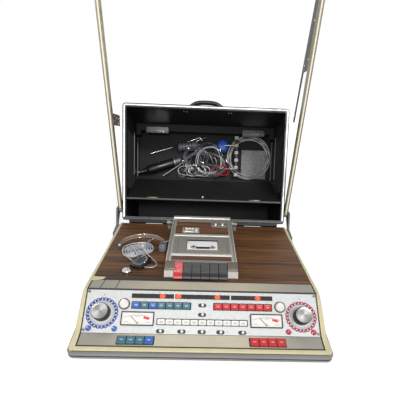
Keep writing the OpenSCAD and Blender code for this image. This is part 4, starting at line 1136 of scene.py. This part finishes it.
def headset_parts():
    """Two earphones, blue for the left ear and red for the right, on a ribbed headband."""
    for a, look, name in ((248, "phone_blue", "blue"), (176, "phone_red", "red")):
        f = Form(BOX)
        phone_shell(f, 56, a)
        f.look = 1
        seam = [(58 + 20 * cos(t), BACK_B - 11.8, a + 20 * sin(t)) for t in turn(24, 0, 360, True)]
        f.tube(flowing(seam, 1), 1.3, 8)
        f.look = 2
        f.tube([(60, BACK_B - 22, a), (80, BACK_B - 23, a), (97, BACK_B - 23, a)], 2.1, 12)
        f.ball((58, BACK_B - 21.6, a), 4.0, 0.6)
        f.done(name + "_earphone", "accessory_box", look + " needle chrome",
               replaces=["headset"] if name == "blue" else (), smooth=50)
    f = Form(BOX)
    for i in range(11):
        a, k = 153 + i * 11.3, i % 2
        f.look = k
        f.prism(rounded(99, BACK_B - 22, 12 - k * 2.4, 9.6 - k * 1.6, 2.2), a, a + 10.2)
    f.done("headband", "accessory_box", "band_grey black", bevel=0.6)


def microphone_parts():
    """A hand microphone: ribbed neck, barrel, and a wire-mesh end."""
    handle = moved(BOX, (-196, BACK_B - 14, 160), 72, "Y")
    f = Form(handle)
    ribs = [(r, h + i * 3.4) for i in range(4) for r, h in ((8.6, 1), (8.6, 3), (7.2, 3.4), (7.2, 4.2))]
    f.turned((0, 0, 0), ribs + [(10.6, 15), (13, 18), (13.8, 24), (13.9, 100), (13.4, 104)], 40)
    f.look = 1
    f.turned((0, 0, 0), [(13.4, 104), (13.9, 105), (13.9, 108), (13.2, 109)], 40)
    f.look = 2
    f.turned((0, 0, 0), [(12.8, 109), (13.2, 112), (13, 122), (10.6, 129), (6, 131.6), (0.1, 132)], 40)
    f.look = 0
    f.cap(0, 0, 1, 1, 0.2, 14.2, 14.4)
    f.done("microphone_barrel", "accessory_box", "gloss_black silver_dark mesh", replaces=["microphone"], smooth=45)
    f = Form(handle)
    f.turned((0, 0, -16), [(3.4, 0), (5.2, 1), (5.8, 8), (7.4, 15.8), (7.4, 16.6)], 28)
    f.done("microphone_ferrule", "accessory_box", "chrome")


def loose_metal():
    """Folding rods, an oscillator case and small plugs that lie on the shelf and lean on the back."""
    f = Form(BOX)
    for points, r in ((((-173, 177, 217), (-104, 180, 240)), 1.6),
                      (((-131, 158, 147), (-62, 164, 196), (-16, 170, 241)), 1.5),
                      (((-64, 176, 254), (-30, 172, 266), (-17, 172, 271), (-10, 174, 262)), 1.4),
                      (((-40, 172, 250), (-20, 168, 262), (2, 174, 272)), 1.2)):
        f.tube(flowing(points), r)
    for x, b, a in ((-171, 178, 218), (-129, 170, 149), (-14, 178, 242)):
        f.ball((x, b, a), 3, 1, 14)
    f.done("steel_rods", "accessory_box", "chrome", smooth=60)
    f = Form(moved(BOX, (-85, BACK_B - 15, 239), 83, "Y"))
    f.turned((0, 0, 0), [(8, 0), (11, 2), (12.6, 5), (12.6, 52), (11.6, 54), (11.6, 58), (8, 63), (4, 64), (4, 70)], 36)
    f.look = 1
    for h in (12, 22, 32, 42):
        f.turned((0, 0, h), [(12.5, 0), (12.9, 0.4), (12.9, 2.2), (12.5, 2.6)], 36)
    f.done("grey_barrel", "accessory_box", "slate gloss_black", smooth=50)
    f = Form(BOX)
    random.seed(11)
    for i in range(9):
        x, b, a = random.uniform(-70, 46), random.uniform(150, 168), BOARD_A + 24 + random.uniform(0, 8)
        tip = Vector((random.uniform(-1, 1), random.uniform(-0.3, 0.3), random.uniform(0.1, 0.7))).normalized()
        base = Vector((x, b, a))
        f.look = i % 2
        f.tube([base, base + tip * 6, base + tip * 7, base + tip * 18], [3.4, 3.4, 1.8, 1.7], 12)
    f.look = 2
    f.ball((-43, 160, 172), 9, 0.7)
    f.ball((-56, 164, 186), 6, 0.7, 14)
    f.done("small_plugs", "accessory_box", "chrome brass cream", smooth=50)


def foam_pad():
    """A grey foam sheet, with rounded edges and a lumpy face, behind the coiled lead."""
    cols, rows = 22, 24
    x0, x1, a0, a1 = 118.0, 198.0, 150.0, 240.0
    random.seed(4)
    f = Form(BOX)
    for b, lift in ((BACK_B - 0.2, 0), (BACK_B - 5, 1)):
        grid = []
        for i in range(rows + 1):
            grid.append([])
            for j in range(cols + 1):
                u, v = j / cols, i / rows
                edge = min(u, v, 1 - u, 1 - v)
                dip = lift * (2.4 * max(0, 1 - edge / 0.06) ** 2 - 0.5 * sin(9 * u) * sin(8 * v)
                              + random.uniform(-0.18, 0.18))
                grid[i].append((x0 + (x1 - x0) * u, b + dip, a0 + (a1 - a0) * v))
        f.rings(grid, closed=False)
    outline = rounded((x0 + x1) / 2, (a0 + a1) / 2, x1 - x0, a1 - a0, 0.5, 1)
    f.rings([[(x, b, a) for x, a in outline] for b in (BACK_B - 0.2, BACK_B - 2.8)], caps=False)
    f.done("foam_pad", "accessory_box", "foam", smooth=80)


# ---------- cords ----------
def cord(name, body, frame, points, diameter, look, replaces=()):
    """A cord along points in a frame, in millimetres."""
    where = [frame @ Vector(p) for p in points]
    data = bpy.data.curves.new(name, "CURVE")
    data.dimensions = "3D"
    data.bevel_depth = diameter * MM / 2
    data.bevel_resolution = 3
    data.use_fill_caps = True
    line = data.splines.new("POLY")
    line.points.add(len(where) - 1)
    for point, p in zip(line.points, where):
        point.co = (*p, 1)
    data.materials.append(M[look])
    piece = bpy.data.objects.new(name, data)
    bpy.context.scene.collection.objects.link(piece)
    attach(piece, body)
    if replaces:
        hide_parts(*replaces)
    return piece


def plug(name, body, frame, points, look="black"):
    """A small moulded plug with a metal pin, that carries on the line of its cord's last points."""
    at = Vector(points[-1])
    ahead = (at - Vector(points[-2])).normalized()
    f = Form(frame)
    f.tube([at, at + ahead * 1.2, at + ahead * 5, at + ahead * 14, at + ahead * 15.5], [1.6, 2.2, 3.4, 3.6, 2.9], 16)
    f.look = 1
    f.tube([at + ahead * d for d in (15.4, 16, 26, 27, 28.4)], [1.6, 1.75, 1.75, 1.4, 0.5], 14)
    return f.done(name, body, look + " chrome", smooth=50)


def headset_cord():
    """The grey lead lies in loose round turns on the foam, behind the headband."""
    turns, steps, start = 5, 26, 118
    radius, uneven_by, wider, front, depth = 61, 6.0, 3, BACK_B - 16.6, 10.6
    points = [(100, BACK_B - 17.2, 262), (108, BACK_B - 17.0, 270)]
    for i in range(turns * steps + 1):
        a, k = radians(start - 360 * i / steps), i / (turns * steps)
        r = radius + uneven_by * sin(2.4 * i / steps * pi + 0.6)
        points.append((COIL[0] + (r + wider) * cos(a), front + depth * k, COIL[1] + r * sin(a)))
    end = plug("headset_plug", "accessory_box", BOX, points)
    cord("headset_cord", "accessory_box", BOX, flowing(points, 2), 3.0, "lead_grey",
         ["headset_lead"])


def tangle(name, x, a, wide, high, turns, start, b0, diameter, look, drift, seed, replaces=()):
    """A lead dropped in loose uneven loops that lie one on the other."""
    random.seed(seed)
    steps = 18
    wob = [random.uniform(0.72, 1.12) for _ in range(turns * 3 + 2)]
    points = []
    for i in range(turns * steps + 1):
        t = radians(start + 360 * i / steps)
        k = i / (turns * steps)
        at = k * (len(wob) - 2)
        w = wob[int(at)] * (1 - at % 1) + wob[int(at) + 1] * (at % 1)
        points.append((x + drift * k + wide * w * cos(t), BACK_B - b0 - (diameter + 0.7) * turns * k,
                       a + high * (2 - w) * 0.9 * sin(t) + 2 * sin(3 * t)))
    end = plug(name + "_plug", "accessory_box", BOX, points)
    cord(name, "accessory_box", BOX, flowing(points, 2), diameter, look, replaces)


def box_cords():
    """The headset's coil and the tangle. Each row: place, half width and height, turns, start, depth, thickness."""
    headset_cord()
    for name, *row in (
            ("low", -30, 158, 60, 18, 5, 200, 4, 2.8, "lead_black", 14, 3, ["black_leads"]),
            # the grey-metal leads are black cords drawn lighter: painted highlight
            ("mid", -8, 190, 46, 34, 4, 150, 20, 2.4, "lead_gloss", -6, 5),
            ("high", 4, 216, 34, 40, 4, 250, 8, 2.2, "lead_black", 12, 8),
            ("wide", 8, 184, 66, 38, 3, 330, 30, 2.2, "lead_gloss", -16, 21),
            ("far", -34, 206, 36, 28, 3, 100, 30, 2.0, "lead_gloss", 10, 41),
            ("near", 12, 166, 50, 22, 3, 60, 31, 1.8, "lead_gloss", -22, 52),
            ("pale", -46, 164, 42, 17, 2, 80, 33, 1.8, "lead_silver", 30, 12),
            ("grey", 20, 196, 40, 46, 2, 20, 33.5, 1.7, "lead_silver", -10, 33),
            ("red", 46, 168, 26, 18, 2, 30, 34, 1.8, "lead_red", 8, 17)):
        tangle("tangle_" + name, *row)


# ---------- bone receiver on the deck ----------
RECEIVER = (-142.0, -138.0)


def receiver():
    """A clear sprung headband that stands on the deck, with its receiver block, pad and clip."""
    x, y = RECEIVER
    radius = 50.8
    f = Form(DECK)
    band = [polar(x, y, radius, a) for a in turn(60, -4, 178, True)]
    f.rings([[(px, py, 0.5), (px, py, 9.0), (x + (px - x) * 1.03, y + (py - y) * 1.03, 9.4),
              (x + (px - x) * 1.03, y + (py - y) * 1.03, 0.4)] for px, py in band])
    f.done("receiver_band", "console", "clear_band", bevel=0.3, replaces=["bone_receiver"], smooth=60)
    f = Form(DECK)
    for r, z, thick in ((52.0, 9.4, 0.8), (51.2, 1.2, 0.5)):
        f.tube([(*polar(x, y, r, a), z) for a in turn(60, -2, 176, True)], thick, 8)
    f.done("band_wire", "console", "chrome", smooth=60)
    f = Form(DECK)
    f.cap(x + 48, y - 6, 17, 27, 5, 0.4, 13, 2.2, 0.6)
    f.look = 1
    f.turned((x + 48, y - 6, 12.4), [(6.4, 0), (6.4, 1.2), (5.2, 1.8), (0.1, 1.4)], 28)
    f.look = 2
    f.tube([(x + 44, y + 6, 9), (x + 56, y + 14, 10), (x + 62, y + 20, 12)], 1.8)
    f.turned((x - 51, y - 6, 0.4), [(2.6, 0), (3.2, 1), (3.2, 9), (2.6, 10), (0.1, 10.4)], 20)
    f.done("receiver_block", "console", "slate silver_dark chrome", bevel=0.4)
    f = Form(DECK)
    f.turned((x - 15, y - 105, 0.3), [(8.6, 0), (9.4, 0.8), (9.4, 3.4), (8.4, 4.6), (6.4, 4.8), (5.8, 4.2), (3.8, 4.2),
                                      (3.4, 6.2), (2, 6.8), (0.1, 6.8)])
    f.done("receiver_disc", "console", "chrome")
    f = Form(moved(DECK, (x + 8, y - 72, 0), -24))
    f.prism(rounded(0, 0, 32, 46, 8, 6), 0.4, 7)
    f.look = 1
    f.prism(rounded(0, -2, 23, 32, 7, 6), 7, 8.6)
    f.look = 2
    for i in range(6):
        f.box((-8, 8), (-12 + i * 4.2, -10.6 + i * 4.2), (8.6, 9.6))
    f.look = 3
    f.tube([(-9, 14, 8), (0, 18, 10), (10, 12, 9), (13, -4, 8.6)], 0.8, 8)
    f.done("receiver_clip", "console", "gloss_black slate black chrome", bevel=0.8)


def deck_cord():
    """The receiver's grey lead is wound in a flat hank on the deck, with one loop drawn out towards the front."""
    hank = moved(DECK, (-149, -156, 0), 33)
    steps, lanes, levels, d, pitch = 24, 4, 2, 2.0, 5.6
    inner, half_straight, start, low = 6.5, 12, 60, 1.4
    points = [(52, 26, 8), (46, 20, 11)]
    for i in range(lanes * levels * steps + 1):
        a = radians(start + 360 * i / steps)
        turn_no, k = i // steps, max(0, (i % steps) / steps * 5 - 4)
        lane, level = turn_no % lanes, turn_no // lanes
        out = lanes - 1 - lane if level % 2 == 0 else lane
        step = 0 if lane == lanes - 1 else (-1 if level % 2 == 0 else 1)
        r = inner + (out + step * k) * pitch
        up = low + (level + (k if lane == lanes - 1 else 0)) * (d + 0.9) + 0.35 * sin(5 * a + turn_no)
        points.append((half_straight * max(-1, min(1, 3 * cos(a))) + r * cos(a), r * sin(a), up))
    points += [(12, 25, 7.4), (-8, 27, 7.6), (-24, 22, 7.8), (-34, 8, 7.6), (-36, -8, 6.8), (-32, -28, 4.4),
               (-27, -46, 2), (-22, -62, 1.5), (-13, -76, 1.4), (0, -82, 1.4), (11, -74, 1.4), (12, -56, 2),
               (8, -36, 6), (9, -16, 10.6), (18, 0, 11.4), (30, 10, 10.6)]
    end = plug("receiver_plug", "console", hank, points, "slate")
    cord("receiver_cord", "console", hank, flowing(points, 3), d, "lead_silver",
         ["receiver_lead"])
    f = Form(hank)
    for x, tilt in ((-14, 3), (10, -4)):
        f.tube([(x + tilt * sin(a), 27 * cos(a), max(1.0, 6.0 + 6.2 * sin(a))) for a in turn(36, 0, 360, True)], 1.0, 8)
    f.done("hank_ties", "console", "lead_silver", smooth=60)


# ---------- camera, floor and light ----------
def camera():
    """The camera that was fitted to the photo: its values are in pixels, millimetres and degrees."""
    picture, focal, centre = 400, 319.138, (209.223, 260.85)
    pitch, yaw, roll = radians(30.70), radians(-1.96), radians(2.47)
    where = (-7.406 * MM, BACK - 798.07 * MM, (DECK_Z + 360.436) * MM)
    data = bpy.data.cameras.new("photo_camera")
    data.sensor_width = 36
    data.lens = focal / picture * data.sensor_width
    data.shift_x = -(centre[0] - picture / 2) / picture
    data.shift_y = (centre[1] - picture / 2) / picture
    data.clip_start, data.clip_end = 0.01, 50
    cam = bpy.data.objects.new("photo_camera", data)
    bpy.context.scene.collection.objects.link(cam)
    base = Matrix(((1, 0, 0), (0, 0, -1), (0, 1, 0)))
    tip = Matrix(((1, 0, 0), (0, cos(pitch), sin(pitch)), (0, -sin(pitch), cos(pitch))))
    spin = Matrix(((cos(yaw), -sin(yaw), 0), (sin(yaw), cos(yaw), 0), (0, 0, 1)))
    bank = Matrix(((cos(roll), -sin(roll), 0), (sin(roll), cos(roll), 0), (0, 0, 1)))
    cam.matrix_world = Matrix.Translation(where) @ (spin @ tip @ base @ bank).to_4x4()
    bpy.context.scene.camera = cam


def light(name, kind, energy, where, aim=(0, 0, 0.15), size=1.0, colour=(1, 1, 1)):
    """A lamp that shines from one place to another; size is a sun's angle or a square's side."""
    data = bpy.data.lights.new(name, kind)
    data.energy = energy
    data.color = colour
    setattr(data, "size" if kind == "AREA" else "angle", size)
    lamp = bpy.data.objects.new(name, data)
    bpy.context.scene.collection.objects.link(lamp)
    lamp.location = where
    lamp.rotation_mode = "QUATERNION"
    lamp.rotation_quaternion = (Vector(aim) - Vector(where)).to_track_quat("-Z", "Y")


def seen_rays(tree):
    """1 for what the camera sees, straight or in metal and glass, and 0 for light on the object."""
    path = add_node(tree, "LightPath")
    value = path.outputs["Is Camera Ray"]
    for name in ("Is Glossy Ray", "Is Transmission Ray"):
        value = add_node(tree, "Math", {0: value, 1: path.outputs[name]}, operation="MAXIMUM").outputs["Value"]
    return value


def white_stage():
    """A white floor that keeps a soft shadow, and a white world that lights the object more dimly than it looks."""
    glow_share, glow_strength, sky_light = 0.45, 1.55, 0.5
    bpy.ops.mesh.primitive_plane_add(size=30, location=(0, 0, -0.0005))
    floor = bpy.context.object
    floor.name = "floor"
    mat = bpy.data.materials.new("floor_white")
    mat.use_nodes = True
    tree = mat.node_tree
    matt = tree.nodes["Principled BSDF"]
    matt.inputs["Base Color"].default_value = (0.9, 0.9, 0.9, 1)
    matt.inputs["Roughness"].default_value = 0.9
    share = add_node(tree, "Math", {0: seen_rays(tree), 1: glow_share}, operation="MULTIPLY")
    glow = add_node(tree, "Emission", {"Strength": glow_strength})
    both = add_node(tree, "MixShader", {0: share.outputs["Value"], 1: matt.outputs["BSDF"],
                                        2: glow.outputs["Emission"]})
    tree.links.new(both.outputs["Shader"], tree.nodes["Material Output"].inputs["Surface"])
    floor.data.materials.append(mat)
    world = bpy.data.worlds.new("studio")
    bpy.context.scene.world = world
    world.use_nodes = True
    tree = world.node_tree
    tree.nodes.clear()
    seen = add_node(tree, "Background", {"Color": (1, 1, 1, 1)})
    lit = add_node(tree, "Background", {"Color": (0.93, 0.96, 1, 1), "Strength": sky_light})
    both = add_node(tree, "MixShader", {0: seen_rays(tree), 1: lit.outputs["Background"],
                                        2: seen.outputs["Background"]})
    add_node(tree, "OutputWorld", {"Surface": both.outputs["Shader"]})


def build():
    """Makes all pieces of the object."""
    for make in (rim_band, seal, edge_lines, key_banks, dials, meters, small_controls, window_fittings, recorder,
                 box_trim, handle_grip, flap_skin, cover_frame, headset_parts, microphone_parts, loose_metal, foam_pad,
                 box_cords, receiver, deck_cord):
        make()
    soften("wood_deck top_strip lower_strip base_tray rubber_feet console_sides recorder_body recorder_inlay far_wall "
           "box_shell", 0.5)


camera()
build()
white_stage()
light("sun", "SUN", 1.45, (0.8, -1.7, 1.9), size=0.15, colour=(1, 0.98, 0.95))
light("front_soft", "AREA", 3.6, (-0.16, -0.95, 0.68), aim=(0, 0.05, 0.22), size=0.16)
bpy.context.scene.view_settings.view_transform = "Standard"
bpy.context.scene.view_settings.look = "None"
